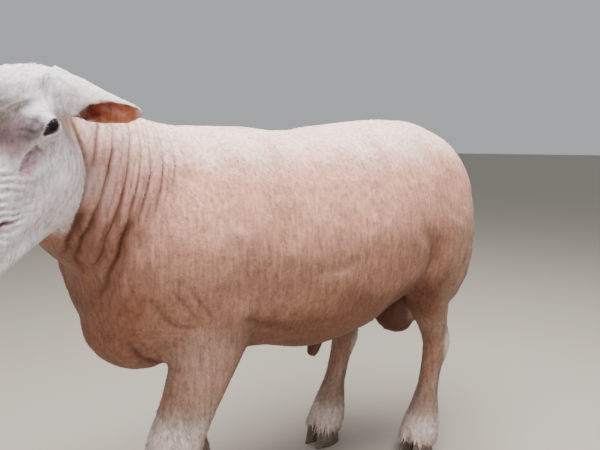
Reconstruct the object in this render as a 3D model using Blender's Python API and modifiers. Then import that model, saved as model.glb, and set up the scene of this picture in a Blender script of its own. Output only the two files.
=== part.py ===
"""A shorn meat-breed ram, standing, at life size.

Metres, +Z up. The ram faces -X, its left side is towards -Y, and its hooves stand on z = 0.
The flesh is blocked out from lofts and balls, fused with a voxel remesh, smoothed, and then
parted into head, neck, trunk, tail, scrotum, sheath and legs with thin cuts. Ears, eyes and
hooves are solids of their own.
"""

import math

import bmesh
import bpy
from mathutils import Matrix, Vector

# Driving sizes
RUMP_HEIGHT = 0.792
WITHERS_HEIGHT = 0.766
BELLY_CLEARANCE = 0.330
HEAD_LENGTH = 0.300
EAR_LENGTH = 0.096
EAR_WIDTH = 0.050
EAR_DROOP = 0.060  # of the tip below the root's top
EYE_RADIUS = 0.0155
HOOF_LENGTH = 0.076
TOE_LEAD = 0.004  # of the hoof's middle ahead of the coronet's
TAIL_LENGTH = 0.130

# Where the head sits: the back of the skull, and how far it is turned left and nodded down
HEAD_AT = Vector((-0.226, -0.052, 0.739))
HEAD_TURN = math.radians(38.0)
HEAD_NOD = math.radians(32.0)

# In the head's own frame, on its +Y side
EYE_AT = Vector((-0.092, 0.0680, 0.068))
EAR_AT = Vector((-0.030, 0.056, 0.086))
EAR_TOP = Vector((-0.016, 0.056, 0.110))  # where its straight upper line starts
EAR_SEAT = 0.074  # the flat where ear and head meet, out from the head's middle
EAR_TURN = math.radians(30)  # how far the ear's hollow looks down from straight ahead

GAP = 0.0004  # between neighbouring solids
VOXEL = 0.006
SMOOTHING = 7
HEAD_TRIANGLES = 11500  # of the whole flesh, at the head's fineness
FLESH_TRIANGLES = 5000

MATERIALS = {
    "shorn_skin": ((0.72, 0.50, 0.42), 0.75),
    "white_wool": ((0.74, 0.70, 0.66), 0.85),
    "dark_skin": ((0.22, 0.11, 0.08), 0.65),
    "ear_skin": ((0.68, 0.36, 0.28), 0.60),
    "eye": ((0.03, 0.02, 0.018), 0.12),
    "hoof": ((0.13, 0.10, 0.08), 0.55),
}


# ---------------------------------------------------------------- helpers


def clear_scene():
    for obj in list(bpy.data.objects):
        bpy.data.objects.remove(obj)


def new_collection(name):
    collection = bpy.data.collections.new(name)
    bpy.context.scene.collection.children.link(collection)
    return collection


def material(name):
    found = bpy.data.materials.get(name)
    if found:
        return found
    colour, roughness = MATERIALS[name]
    made = bpy.data.materials.new(name)
    made.use_nodes = True
    shader = made.node_tree.nodes["Principled BSDF"]
    shader.inputs["Base Color"].default_value = (*colour, 1.0)
    shader.inputs["Roughness"].default_value = roughness
    return made


def object_from(name, bm, collection, slot):
    """A mesh object made from bm, with its normals facing out and shaded smooth."""
    bmesh.ops.recalc_face_normals(bm, faces=bm.faces)
    if bm.calc_volume(signed=True) < 0:
        bmesh.ops.reverse_faces(bm, faces=bm.faces)
    mesh = bpy.data.meshes.new(name)
    bm.to_mesh(mesh)
    bm.free()
    mesh.materials.append(material(slot))
    mesh.shade_smooth()
    obj = bpy.data.objects.new(name, mesh)
    collection.objects.link(obj)
    return obj


def between(rows, steps):
    """Catmull-Rom through rows of numbers, with this many steps between each two."""
    found = []
    for i in range(len(rows) - 1):
        before, start = rows[max(i - 1, 0)], rows[i]
        end, after = rows[i + 1], rows[min(i + 2, len(rows) - 1)]
        for k in range(steps):
            t = k / steps
            found.append(
                [
                    0.5
                    * (
                        2 * b
                        + (c - a) * t
                        + (2 * a - 5 * b + 4 * c - d) * t * t
                        + (3 * b - a - 3 * c + d) * t**3
                    )
                    for a, b, c, d in zip(before, start, end, after)
                ]
            )
    return found + [list(rows[-1])]


def signed_power(value, power):
    return math.copysign(abs(value) ** power, value)


def loft(bm, rows, matrix=Matrix(), steps=4, around=24, squareness=2.2):
    """A closed tube through rows of (x, y, z, rise, drop, half width).

    Each section is a squared ellipse across the path. It reaches rise on the side that is
    above a path along +X, or behind a path that goes down, and drop on the other side.
    """
    rows = between(rows, steps)
    centres = [Vector(row[:3]) for row in rows]
    rings = []
    for i, (centre, row) in enumerate(zip(centres, rows)):
        ahead, behind = centres[min(i + 1, len(rows) - 1)], centres[max(i - 1, 0)]
        along = (ahead - behind).normalized()
        side = (Vector((0, 1, 0)) - along * along.y).normalized()
        up = along.cross(side)
        rise, drop, half_width = (max(size, 0.002) for size in row[3:6])
        ring = []
        for k in range(around):
            turn = 2 * math.pi * k / around
            across = signed_power(math.cos(turn), 2 / squareness) * half_width
            height = signed_power(math.sin(turn), 2 / squareness)
            height *= rise if height > 0 else drop
            ring.append(bm.verts.new(matrix @ (centre + side * across + up * height)))
        rings.append(ring)
    for first, second in zip(rings, rings[1:]):
        for k in range(around):
            after = (k + 1) % around
            bm.faces.new((first[k], first[after], second[after], second[k]))
    bm.faces.new(reversed(rings[0]))
    bm.faces.new(rings[-1])


def ball(bm, at, radii, matrix=Matrix(), tilt=0.0):
    """An ellipsoid, tilted about Y."""
    shape = Matrix.Translation(at) @ Matrix.Rotation(tilt, 4, "Y") @ Matrix.Diagonal((*radii, 1))
    bmesh.ops.create_uvsphere(bm, u_segments=16, v_segments=9, radius=1, matrix=matrix @ shape)


def box(bm, low, high, matrix=Matrix()):
    low, high = Vector(low), Vector(high)
    shape = Matrix.Translation((low + high) / 2) @ Matrix.Diagonal((*(high - low), 1))
    bmesh.ops.create_cube(bm, size=1, matrix=matrix @ shape)


def cutter(name, bm, collection):
    obj = object_from(name, bm, collection, "hoof")
    obj.hide_render = True
    obj.display_type = "WIRE"
    return obj


def boolean(obj, other, operation="DIFFERENCE"):
    modifier = obj.modifiers.new(f"{operation.lower()} {other.name}", "BOOLEAN")
    modifier.operation = operation
    modifier.object = other
    return modifier


def apply_modifiers(obj):
    """Turns the evaluated object into its plain mesh."""
    graph = bpy.context.evaluated_depsgraph_get()
    mesh = bpy.data.meshes.new_from_object(obj.evaluated_get(graph))
    obj.modifiers.clear()
    obj.data = mesh


def drop_crumbs(obj):
    """Keeps only the largest connected piece, without the slivers that a slanting cut leaves."""
    bm = bmesh.new()
    bm.from_mesh(obj.data)
    unseen, pieces = set(bm.verts), []
    while unseen:
        piece, edge = set(), [unseen.pop()]
        while edge:
            vert = edge.pop()
            piece.add(vert)
            found = {link.other_vert(vert) for link in vert.link_edges} & unseen
            unseen -= found
            edge.extend(found)
        pieces.append(piece)
    largest = max(pieces, key=len)
    crumbs = [vert for piece in pieces if piece is not largest for vert in piece]
    bmesh.ops.delete(bm, geom=crumbs, context="VERTS")
    bm.to_mesh(obj.data)
    bm.free()


def copy_of(obj, name, slot, collection):
    made = obj.copy()
    made.data = obj.data.copy()
    made.data.materials.clear()
    made.data.materials.append(material(slot))
    made.name = name
    made.hide_render = False
    made.display_type = "TEXTURED"
    collection.objects.link(made)
    return made


# ---------------------------------------------------------------- flesh


def trunk(bm):
    """The barrel, widest a little below half way up, with shoulders, thighs and brisket."""
    rows = []
    for x, top, bottom, half_width in (
        (-0.186, 0.560, 0.480, 0.045),
        (-0.160, 0.625, 0.430, 0.098),
        (-0.115, 0.690, 0.386, 0.134),
        (-0.050, 0.745, 0.360, 0.155),
        (0.060, WITHERS_HEIGHT, 0.358, 0.165),
        (0.180, 0.760, 0.350, 0.178),
        (0.320, 0.766, BELLY_CLEARANCE, 0.192),
        (0.440, 0.783, 0.350, 0.188),
        (0.530, RUMP_HEIGHT, 0.388, 0.172),
        (0.620, 0.780, 0.420, 0.158),
        (0.688, 0.738, 0.436, 0.144),
        (0.736, 0.674, 0.462, 0.116),
        (0.762, 0.610, 0.520, 0.055),
    ):
        middle = bottom + 0.46 * (top - bottom)
        rows.append((x, 0, middle, top - middle, middle - bottom, half_width))
    loft(bm, rows, around=32)
    for side in (-1, 1):
        ball(bm, (-0.02, 0.088 * side, 0.545), (0.105, 0.078, 0.155), tilt=-0.35)  # shoulder
        ball(bm, (0.642, 0.088 * side, 0.510), (0.120, 0.077, 0.175), tilt=0.06)  # thigh
    ball(bm, (-0.082, 0, 0.442), (0.092, 0.095, 0.084), tilt=0.5)  # brisket


def neck(bm):
    rows = (
        (-0.262, -0.078, 0.728, 0.082, 0.070, 0.062),
        (-0.205, -0.045, 0.702, 0.104, 0.105, 0.088),
        (-0.140, -0.020, 0.668, 0.120, 0.135, 0.112),
        (-0.060, -0.004, 0.628, 0.145, 0.165, 0.130),
        (0.040, 0.000, 0.592, 0.160, 0.165, 0.140),
    )
    loft(bm, rows, around=28)


def head_matrix():
    turn = Matrix.Rotation(HEAD_TURN, 4, "Z") @ Matrix.Rotation(-HEAD_NOD, 4, "Y")
    return Matrix.Translation(HEAD_AT) @ turn


def head(bm, matrix):
    """In the head's own frame the muzzle points to -X, and the skull's back is at x = 0."""
    share = HEAD_LENGTH / 0.3
    profile = (
        (0.300, 0.004, 0.010, 0.012),
        (0.293, 0.026, 0.028, 0.030),
        (0.274, 0.043, 0.037, 0.041),
        (0.240, 0.058, 0.041, 0.045),
        (0.200, 0.070, 0.044, 0.047),
        (0.160, 0.081, 0.049, 0.053),
        (0.120, 0.093, 0.056, 0.066),
        (0.085, 0.100, 0.063, 0.075),
        (0.050, 0.101, 0.070, 0.074),
        (0.020, 0.088, 0.062, 0.064),
        (0.000, 0.062, 0.042, 0.046),
    )
    rows = [(-u * share, 0, 0, top, drop, half) for u, top, drop, half in profile]
    loft(bm, rows, matrix, around=28, squareness=2.3)
    jaw = (
        (-0.278, 0, -0.030, 0.014, 0.014, 0.026),
        (-0.240, 0, -0.038, 0.018, 0.017, 0.034),
        (-0.170, 0, -0.048, 0.022, 0.023, 0.038),
        (-0.100, 0, -0.058, 0.030, 0.028, 0.045),
        (-0.050, 0, -0.058, 0.035, 0.034, 0.052),
        (-0.020, 0, -0.045, 0.030, 0.030, 0.048),
    )
    loft(bm, jaw, matrix, around=20)
    ball(bm, (-0.026, 0, 0.078), (0.056, 0.080, 0.036), matrix)  # woolly poll
    for side in (-1, 1):
        ball(bm, (-0.072, 0.044 * side, -0.022), (0.056, 0.024, 0.054), matrix)  # cheek
        ball(bm, (-0.090, 0.048 * side, 0.075), (0.052, 0.028, 0.022), matrix)  # brow
        ball(bm, (EYE_AT.x, 0.058 * side, EYE_AT.z), (0.025, 0.020, 0.021), matrix)  # orbit
        ball(bm, (-0.274, 0.022 * side, 0.016), (0.022, 0.018, 0.020), matrix)  # nostril wing
        ball(bm, (-0.248, 0.024 * side, -0.014), (0.040, 0.020, 0.022), matrix)  # lip
        ball(bm, (EAR_AT.x, 0.056 * side, EAR_AT.z), (0.028, 0.022, 0.026), matrix)  # ear root


# A leg's sections down its bones: distance along the bone, behind, ahead, half width
FORE_JOINTS = {
    "left": ((0.045, 0.560), (-0.002, 0.425), (-0.077, 0.242), (-0.106, 0.095), (-0.126, 0.040)),
    "right": ((0.080, 0.560), (0.096, 0.425), (0.090, 0.242), (0.086, 0.095), (0.068, 0.040)),
}
HIND_JOINTS = {
    "left": ((0.575, 0.440), (0.640, 0.262), (0.596, 0.095), (0.578, 0.040)),
    "right": ((0.500, 0.440), (0.530, 0.255), (0.480, 0.095), (0.462, 0.040)),
}
LEG_SPREAD = {"fore": 0.104, "hind": 0.098}


def side_sign(side):
    return -1 if side == "left" else 1


def fore_leg(bm, side):
    y = side_sign(side) * LEG_SPREAD["fore"]
    shoulder, elbow, knee, fetlock, coronet = FORE_JOINTS[side]

    def on(first, second, share):
        return [a + (b - a) * share for a, b in zip(first, second)]

    stations = (
        (shoulder, 0.095, 0.085, 0.060),
        (elbow, 0.070, 0.062, 0.052),
        (on(elbow, knee, 0.45), 0.053, 0.050, 0.045),
        (on(elbow, knee, 0.80), 0.041, 0.048, 0.042),
        (knee, 0.043, 0.049, 0.044),
        (on(knee, fetlock, 0.30), 0.033, 0.034, 0.031),
        (on(knee, fetlock, 0.65), 0.028, 0.027, 0.028),
        (fetlock, 0.038, 0.034, 0.038),
        (on(fetlock, coronet, 0.50), 0.038, 0.040, 0.043),
        (coronet, 0.037, 0.043, 0.043),
        ((coronet[0] - 0.006, 0.012), 0.032, 0.036, 0.036),
    )
    loft(bm, [(x, y, z, back, front, half) for (x, z), back, front, half in stations])


def hind_leg(bm, side):
    y = side_sign(side) * LEG_SPREAD["hind"]
    stifle, hock, fetlock, coronet = HIND_JOINTS[side]
    hip = (0.625, 0.560)

    def on(first, second, share):
        return [a + (b - a) * share for a, b in zip(first, second)]

    stations = (
        (hip, 0.105, 0.105, 0.070),
        (on(hip, stifle, 0.60), 0.108, 0.090, 0.066),
        (stifle, 0.095, 0.060, 0.056),
        (on(stifle, hock, 0.40), 0.062, 0.044, 0.044),
        (on(stifle, hock, 0.78), 0.044, 0.031, 0.033),
        (hock, 0.037, 0.031, 0.032),
        (on(hock, fetlock, 0.30), 0.027, 0.026, 0.026),
        (on(hock, fetlock, 0.65), 0.026, 0.025, 0.027),
        (fetlock, 0.038, 0.034, 0.038),
        (on(fetlock, coronet, 0.50), 0.039, 0.041, 0.044),
        (coronet, 0.038, 0.044, 0.044),
        ((coronet[0] - 0.006, 0.012), 0.032, 0.036, 0.036),
    )
    loft(bm, [(x, y, z, back, front, half) for (x, z), back, front, half in stations])
    ball(bm, (hock[0] + 0.024, y, hock[1] + 0.016), (0.017, 0.018, 0.026))  # point of the hock


def scrotum(bm):
    rows = (
        (0.612, 0, 0.440, 0.028, 0.032, 0.040),
        (0.608, 0, 0.400, 0.030, 0.034, 0.042),
        (0.604, 0, 0.350, 0.040, 0.044, 0.055),
        (0.602, 0, 0.310, 0.040, 0.044, 0.055),
        (0.602, 0, 0.282, 0.028, 0.030, 0.040),
        (0.602, 0, 0.272, 0.010, 0.010, 0.016),
    )
    loft(bm, rows)


def sheath(bm):
    rows = (
        (0.352, 0, 0.350, 0.020, 0.020, 0.020),
        (0.334, 0, 0.316, 0.019, 0.019, 0.019),
        (0.324, 0, 0.294, 0.015, 0.015, 0.015),
        (0.321, 0, 0.286, 0.009, 0.009, 0.009),
    )
    loft(bm, rows)


def tail(bm):
    top = Vector((0.738, 0, 0.700))
    rows = (
        (top.x, 0, top.z, 0.026, 0.030, 0.034),
        (top.x + 0.026, 0, top.z - 0.25 * TAIL_LENGTH, 0.020, 0.022, 0.030),
        (top.x + 0.036, 0, top.z - 0.65 * TAIL_LENGTH, 0.016, 0.018, 0.026),
        (top.x + 0.036, 0, top.z - 0.95 * TAIL_LENGTH, 0.010, 0.012, 0.018),
        (top.x + 0.034, 0, top.z - TAIL_LENGTH, 0.004, 0.004, 0.006),
    )
    loft(bm, rows)


def thin_out(obj, triangles, group=""):
    decimate = obj.modifiers.new("thin out", "DECIMATE")
    decimate.vertex_group = group
    decimate.ratio = triangles / sum(len(face.vertices) - 2 for face in obj.data.polygons)
    apply_modifiers(obj)


def fused_flesh(collection):
    """All the flesh as one smooth closed mesh, finest on the head."""
    bm = bmesh.new()
    trunk(bm)
    neck(bm)
    head(bm, head_matrix())
    for side in ("left", "right"):
        fore_leg(bm, side)
        hind_leg(bm, side)
    scrotum(bm)
    sheath(bm)
    tail(bm)
    flesh = cutter("flesh", bm, collection)

    remesh = flesh.modifiers.new("fuse", "REMESH")
    remesh.mode = "VOXEL"
    remesh.voxel_size = VOXEL
    smooth = flesh.modifiers.new("smooth", "SMOOTH")
    smooth.factor = 0.5
    smooth.iterations = SMOOTHING
    apply_modifiers(flesh)

    thin_out(flesh, HEAD_TRIANGLES)
    to_head = head_matrix().inverted()
    rest = flesh.vertex_groups.new(name="all but the head")
    for vert in flesh.data.vertices:
        place = to_head @ vert.co
        if place.x > 0 or place.length > 1.1 * HEAD_LENGTH:
            rest.add([vert.index], 1.0, "REPLACE")
    thin_out(flesh, FLESH_TRIANGLES, rest.name)
    return flesh


# ---------------------------------------------------------------- ears, eyes and hooves


def ear(name, side, collection):
    """A leaf rolled into a tube at its root, held out sideways, open to the front and below."""
    stations, across = 10, 8
    matrix, sign = head_matrix(), side_sign(side)
    back = Vector((math.cos(EAR_TURN), 0, math.sin(EAR_TURN)))
    edge = Vector((-math.sin(EAR_TURN), 0, math.cos(EAR_TURN)))
    bm = bmesh.new()
    rings = []
    for i in range(stations):
        s = i / (stations - 1)
        along = Vector((0, EAR_LENGTH * s, -EAR_DROOP * s))
        width = max(EAR_WIDTH * (0.92 + 0.2 * s) * (1 - s**2.6) ** 0.8, 0.006)
        wrap = math.radians(150 - 50 * min(s / 0.35, 1) ** 1.5 - 40 * s)
        radius = width / 2 / math.sin(min(wrap, math.pi / 2))
        half_wall = min(0.0032 - 0.0012 * s, radius / 2)
        centre = EAR_TOP + along - Vector((0.5, 0, 0.866)) * radius
        ring = []
        for wall, order in ((half_wall, range(across)), (-half_wall, reversed(range(across)))):
            for k in order:
                turn = wrap * (2 * k / (across - 1) - 1)
                reach = radius + wall * (0.5 if k in (0, across - 1) else 1.0)
                point = centre + (back * math.cos(turn) + edge * math.sin(turn)) * reach
                point.y *= sign
                ring.append(bm.verts.new(matrix @ point))
        rings.append(ring)
    count = 2 * across
    for first, second in zip(rings, rings[1:]):
        for k in range(count):
            after = (k + 1) % count
            bm.faces.new((first[k], first[after], second[after], second[k]))
    for ring in (rings[0], rings[-1]):
        for k in range(across - 1):
            bm.faces.new((ring[k], ring[k + 1], ring[count - 2 - k], ring[count - 1 - k]))
    return object_from(name, bm, collection, "ear_skin")


def ear_seat(side, inner, outer, collection):
    """A block round the ear's root, between two distances out from the head's middle."""
    bm = bmesh.new()
    low = Vector((EAR_AT.x - 0.048, inner, EAR_AT.z - 0.048))
    high = Vector((EAR_AT.x + 0.048, outer, EAR_AT.z + 0.048))
    low.y, high.y = sorted((low.y * side_sign(side), high.y * side_sign(side)))
    box(bm, low, high, head_matrix())
    return cutter(f"ear_{side}_seat_{'inner' if inner == 0 else 'outer'}", bm, collection)


def eye(bm, side, radius):
    at = EYE_AT.copy()
    at.y *= side_sign(side)
    ball(bm, at, (radius, radius, radius), head_matrix())


def coronet_height(forward):
    """How high the hoof's top edge is, at this distance ahead of its middle."""
    return 0.036 + 0.30 * forward


def claw(name, centre, inner, collection):
    """One of a hoof's two claws: pointed at the toe, flat below. inner is where its mate lies."""
    around, levels = 14, 4
    bm = bmesh.new()
    rings = []
    for i in range(levels):
        share = i / (levels - 1)
        front = HOOF_LENGTH * (0.58 - 0.14 * share)
        rear = HOOF_LENGTH * (0.42 - 0.01 * share)
        half = 0.0152 + 0.0006 * math.sin(math.pi * share)
        ring = []
        for k in range(around):
            turn = 2 * math.pi * k / around
            ahead = math.cos(turn) * (front if math.cos(turn) > 0 else rear)
            point = max(math.cos(turn), 0) ** 1.5
            aside = math.sin(turn) * half * (1 - 0.45 * point)
            flat_side = aside * inner > 0
            aside = aside * (0.86 if flat_side else 1.0) - inner * 0.004 * (1 - point)
            height = (coronet_height(ahead) - GAP) * share
            away = -inner * (0.0145 + 0.003 * max(ahead, 0) / front)
            ring.append(bm.verts.new((centre[0] - ahead, centre[1] + away + aside, height)))
        rings.append(ring)
    for first, second in zip(rings, rings[1:]):
        for k in range(around):
            after = (k + 1) % around
            bm.faces.new((first[k], first[after], second[after], second[k]))
    bm.faces.new(reversed(rings[0]))
    bm.faces.new(rings[-1])
    return object_from(name, bm, collection, "hoof")


# ---------------------------------------------------------------- parting


def leg_root(kind, x, y):
    """The slanting plane that parts a leg from the trunk: its height above a point."""
    if kind == "fore":
        return 0.316 + 0.46 * abs(y)
    return 0.332 + 0.30 * abs(y) + 0.27 * (x - 0.44)


def leg_region(kind, side, by):
    """What lies below the root plane, out from the midline, grown by this much."""
    inner = 0.046 - by
    front, rear = (-0.45, 0.150) if kind == "fore" else (0.400, 0.90)
    bm = bmesh.new()
    box(bm, (front - by, inner, -0.1), (rear + by, 0.40, 1.0))
    for vert in bm.verts:
        if vert.co.z > 0:
            vert.co.z = leg_root(kind, vert.co.x, vert.co.y) + by
        vert.co.y *= side_sign(side)
    return bm


def feet():
    """Each foot's name and the middle of its hoof on the ground."""
    for kind, joints in (("fore", FORE_JOINTS), ("hind", HIND_JOINTS)):
        for side in ("left", "right"):
            x = joints[side][-1][0] - TOE_LEAD
            yield kind, side, (x, side_sign(side) * LEG_SPREAD[kind])


def part_flesh(flesh, collection, cutters):
    """The named flesh solids, as copies of the whole with everything else cut off."""
    matrix = head_matrix()
    forward = (matrix.to_3x3() @ Vector((-1, 0, 0.45))).normalized()
    head_end = matrix @ Vector((-0.022, 0, 0.0))
    neck_end = Vector((-0.088, 0, 0.640))
    rearward = Vector((0.83, 0, -0.56)).normalized()
    tail_root = Vector((0.752, 0, 0.70))
    tail_way = Vector((0.93, 0, 0.36)).normalized()

    def region(name, make):
        """Two cutters: the region itself, and the region grown by the gap."""
        return cutter(name, make(0), cutters), cutter(name + "_wide", make(GAP), cutters)

    def block(low, high, frame=Matrix()):
        def make(by):
            bm = bmesh.new()
            grow = Vector((by, by, by))
            box(bm, Vector(low) - grow, Vector(high) + grow, frame)
            return bm

        return make

    def beyond(at, way, half_width, half_height, reach):
        """A block that starts at a plane through at and runs along way."""
        frame = Matrix.Translation(at) @ way.to_track_quat("Z", "Y").to_matrix().to_4x4()
        return block((-half_width, -half_height, 0), (half_width, half_height, reach), frame)

    head_region, head_wide = region("head_region", beyond(head_end, forward, 0.15, 0.15, 0.5))
    front_region, front_wide = region("front_region", beyond(neck_end, -rearward, 0.4, 0.4, 0.6))
    tail_region, tail_wide = region("tail_region", beyond(tail_root, tail_way, 0.038, 0.13, 0.2))
    scrotum_region, scrotum_wide = region(
        "scrotum_region", block((0.552, -0.045, 0.10), (0.690, 0.045, 0.384))
    )
    sheath_region, sheath_wide = region(
        "sheath_region", block((0.280, -0.060, 0.20), (0.385, 0.060, 0.324))
    )

    trunk_obj = copy_of(flesh, "trunk", "shorn_skin", collection)
    for wide in (front_wide, tail_wide, scrotum_wide, sheath_wide):
        boolean(trunk_obj, wide)
    for kind, side, (x, _) in feet():
        leg, wide = region(f"{kind}leg_{side}_region", lambda by: leg_region(kind, side, by))
        boolean(trunk_obj, wide)
        leg_obj = copy_of(flesh, f"{kind}leg_{side}", "white_wool", collection)
        boolean(leg_obj, leg, "INTERSECT")
        hoof_cut = bmesh.new()
        box(hoof_cut, (x - 0.15, -0.3, -0.2), (x + 0.15, 0.3, 1.0))
        for vert in hoof_cut.verts:
            if vert.co.z > 0:
                vert.co.z = coronet_height(x - vert.co.x)
        boolean(leg_obj, cutter(f"{kind}leg_{side}_hoof_cut", hoof_cut, cutters))

    neck_obj = copy_of(flesh, "neck", "shorn_skin", collection)
    boolean(neck_obj, front_region, "INTERSECT")
    boolean(neck_obj, head_wide)
    for name, slot, own in (
        ("head", "white_wool", head_region),
        ("tail", "white_wool", tail_region),
        ("scrotum", "dark_skin", scrotum_region),
        ("sheath", "dark_skin", sheath_region),
    ):
        boolean(copy_of(flesh, name, slot, collection), own, "INTERSECT")


def main():
    clear_scene()
    ram = new_collection("shorn_ram")
    cutters = new_collection("cutters")
    flesh = fused_flesh(cutters)
    part_flesh(flesh, ram, cutters)

    head_obj = bpy.data.objects["head"]
    for side in ("left", "right"):
        boolean(head_obj, ear_seat(side, EAR_SEAT, 0.14, cutters))
        boolean(ear(f"ear_{side}", side, ram), ear_seat(side, 0.0, EAR_SEAT + GAP, cutters))
        bm = bmesh.new()
        eye(bm, side, EYE_RADIUS)
        object_from(f"eye_{side}", bm, ram, "eye")
        bm = bmesh.new()
        eye(bm, side, EYE_RADIUS + GAP)
        boolean(head_obj, cutter(f"eye_{side}_socket", bm, cutters))
    for kind, side, centre in feet():
        for place, inner in (("outer", -side_sign(side)), ("inner", side_sign(side))):
            claw(f"hoof_{kind}_{side}_{place}", centre, inner, ram)

    bpy.context.view_layer.update()
    for obj in ram.objects:
        apply_modifiers(obj)
        drop_crumbs(obj)
    corners = [vert.co for obj in ram.objects for vert in obj.data.vertices]
    centre = Vector(
        [(min(c[axis] for c in corners) + max(c[axis] for c in corners)) / 2 for axis in (0, 1)]
        + [0]
    )
    for obj in ram.objects:
        obj.data.transform(Matrix.Translation(-centre))


main()
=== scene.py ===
import math

import bmesh
import bpy
import numpy as np
from mathutils import Matrix, Vector
from mathutils.bvhtree import BVHTree


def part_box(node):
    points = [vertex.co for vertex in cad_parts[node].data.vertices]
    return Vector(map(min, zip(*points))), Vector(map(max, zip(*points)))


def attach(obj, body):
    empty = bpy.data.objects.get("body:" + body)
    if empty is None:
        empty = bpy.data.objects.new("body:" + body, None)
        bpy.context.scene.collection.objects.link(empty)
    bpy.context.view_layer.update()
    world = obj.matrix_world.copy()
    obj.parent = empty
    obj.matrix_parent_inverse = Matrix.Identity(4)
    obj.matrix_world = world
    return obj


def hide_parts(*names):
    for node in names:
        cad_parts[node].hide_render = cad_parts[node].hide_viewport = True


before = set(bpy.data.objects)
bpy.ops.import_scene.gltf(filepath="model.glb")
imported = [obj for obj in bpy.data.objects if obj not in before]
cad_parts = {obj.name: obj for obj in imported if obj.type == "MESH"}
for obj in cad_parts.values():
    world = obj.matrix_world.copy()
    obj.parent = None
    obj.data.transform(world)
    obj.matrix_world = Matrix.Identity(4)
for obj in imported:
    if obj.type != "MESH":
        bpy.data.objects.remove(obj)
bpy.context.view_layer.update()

# Lengths here are in millimetres, and the scene's are in metres. The head's own frame has its
# muzzle towards -X, up as +Z and the ram's right as +Y. The body's frame faces -X too, with x = 0
# under the shoulders.
head = {
    "nod": 32,  # degrees
    "eye": (-92, 68, 68),
    "inBody": (-226, -52, 739),
    "up": (0.53, 0, 0.848),  # straight up, in the head's frame
}
fleshNodes = ["head", "neck", "trunk", "tail", "scrotum", "sheath"]
legKeys = [(kind, side) for kind in ("fore", "hind") for side in ("left", "right")]
fleshNodes += [f"{kind}leg_{side}" for kind, side in legKeys]


def metres(lengths):
    return [length / 1000 for length in lengths]


def middleOf(node):
    low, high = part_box(node)
    return (low + high) / 2


leftEye, rightEye = middleOf("eye_left"), middleOf("eye_right")
acrossEyes = rightEye - leftEye
headTurn = Matrix.Rotation(math.atan2(-acrossEyes.x, acrossEyes.y), 4, "Z")
headTurn = headTurn @ Matrix.Rotation(-math.radians(head["nod"]), 4, "Y")
headAt = (leftEye + rightEye) / 2 - headTurn @ Vector(metres((head["eye"][0], 0, head["eye"][2])))
headMatrix = Matrix.Translation(headAt) @ headTurn
bodyAt = headAt - Vector(metres(head["inBody"]))
headAxes = np.array(headTurn.to_3x3())


def inHead(points):
    return (points - np.array(headAt)) @ headAxes * 1000


def inBody(points):
    return (points - np.array(bodyAt)) * 1000


def fromHead(h):
    return h @ headAxes.T / 1000 + np.array(headAt)


def sided(h):
    # both sides as one
    return np.column_stack([h[:, 0], np.abs(h[:, 1]), h[:, 2]])


# Shapes of numbers, used for every fold, hollow and marking


def rise(value, nought, one):
    # from 0 at the first end to 1 at the other, either of which may be the higher
    share = np.clip((value - nought) / (one - nought), 0, 1)
    return share * share * (3 - 2 * share)


def hill(value, middle, width):
    return np.exp(-(((value - middle) / width) ** 2))


def spot(points, middle, radii):
    return np.exp(-(((points - np.array(middle)) / np.array(radii)) ** 2).sum(1))


def ripple(value):
    return np.sin(2 * math.pi * value)


def waver(points, size, seed):
    # smooth noise of about -1 to 1, from waves that cross
    random = np.random.default_rng(seed)
    total = 0
    for _ in range(7):
        way = random.normal(size=3)
        way *= 2 * math.pi * random.uniform(0.6, 1.5) / size / np.linalg.norm(way)
        total = total + np.sin(points @ way + random.uniform(0, 6.28))
    return total / 3


def alongLine(points, line):
    # distance to a chain of points, and the share of the way along it
    best, share = np.full(len(points), 1e9), np.zeros(len(points))
    line = np.array(line)
    for i, (start, end) in enumerate(zip(line, line[1:])):
        way = end - start
        t = np.clip((points - start) @ way / (way @ way), 0, 1)
        away = np.linalg.norm(points - start - t[:, None] * way, axis=1)
        nearer = away < best
        best[nearer] = away[nearer]
        share[nearer] = (i + t[nearer]) / (len(line) - 1)
    return best, share


def fadedEnds(share, first, last):
    return rise(share, 0, first) * rise(share, 1, 1 - last)


def mounds(points, rows):
    # the sum of spots, each given by its height, middle and radii
    return sum(height * spot(points, middle, radii) for height, middle, radii in rows)


# Meshes as arrays


def arrayOf(items, key, width, kind=float):
    found = np.empty(len(items) * width, kind)
    items.foreach_get(key, found)
    return found.reshape(-1, width)


def pointsOf(mesh):
    return arrayOf(mesh.vertices, "co", 3)


def normalsOf(mesh):
    return arrayOf(mesh.vertex_normals, "vector", 3, np.float32).astype(float)


def edgesOf(mesh):
    return arrayOf(mesh.edges, "vertices", 2, np.int32)


def place(mesh, points):
    mesh.vertices.foreach_set("co", points.astype(np.float32).ravel())
    mesh.update()


def keepLayer(mesh, name, kind, values):
    key = {"FLOAT": "value", "FLOAT_VECTOR": "vector", "FLOAT_COLOR": "color"}[kind]
    layer = mesh.attributes.new(name, kind, "POINT")
    layer.data.foreach_set(key, values.astype(np.float32).ravel())


def relax(points, edges, share, times):
    # each point moves towards the mean of its neighbours, by its own share
    count, (start, end) = np.bincount(edges.ravel(), minlength=len(points)), edges.T
    for _ in range(times):
        total = np.column_stack([
            np.bincount(start, axis[end], len(points)) + np.bincount(end, axis[start], len(points))
            for axis in points.T
        ])
        points = points + share[:, None] * (total / count[:, None] - points)
    return points


def evaluated(obj):
    # the object's mesh with its modifiers applied
    graph = bpy.context.evaluated_depsgraph_get()
    mesh = bpy.data.meshes.new_from_object(obj.evaluated_get(graph))
    obj.modifiers.clear()
    obj.data = mesh
    return mesh


def newObject(name, mesh):
    obj = bpy.data.objects.new(name, mesh)
    bpy.context.scene.collection.objects.link(obj)
    return obj


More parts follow.
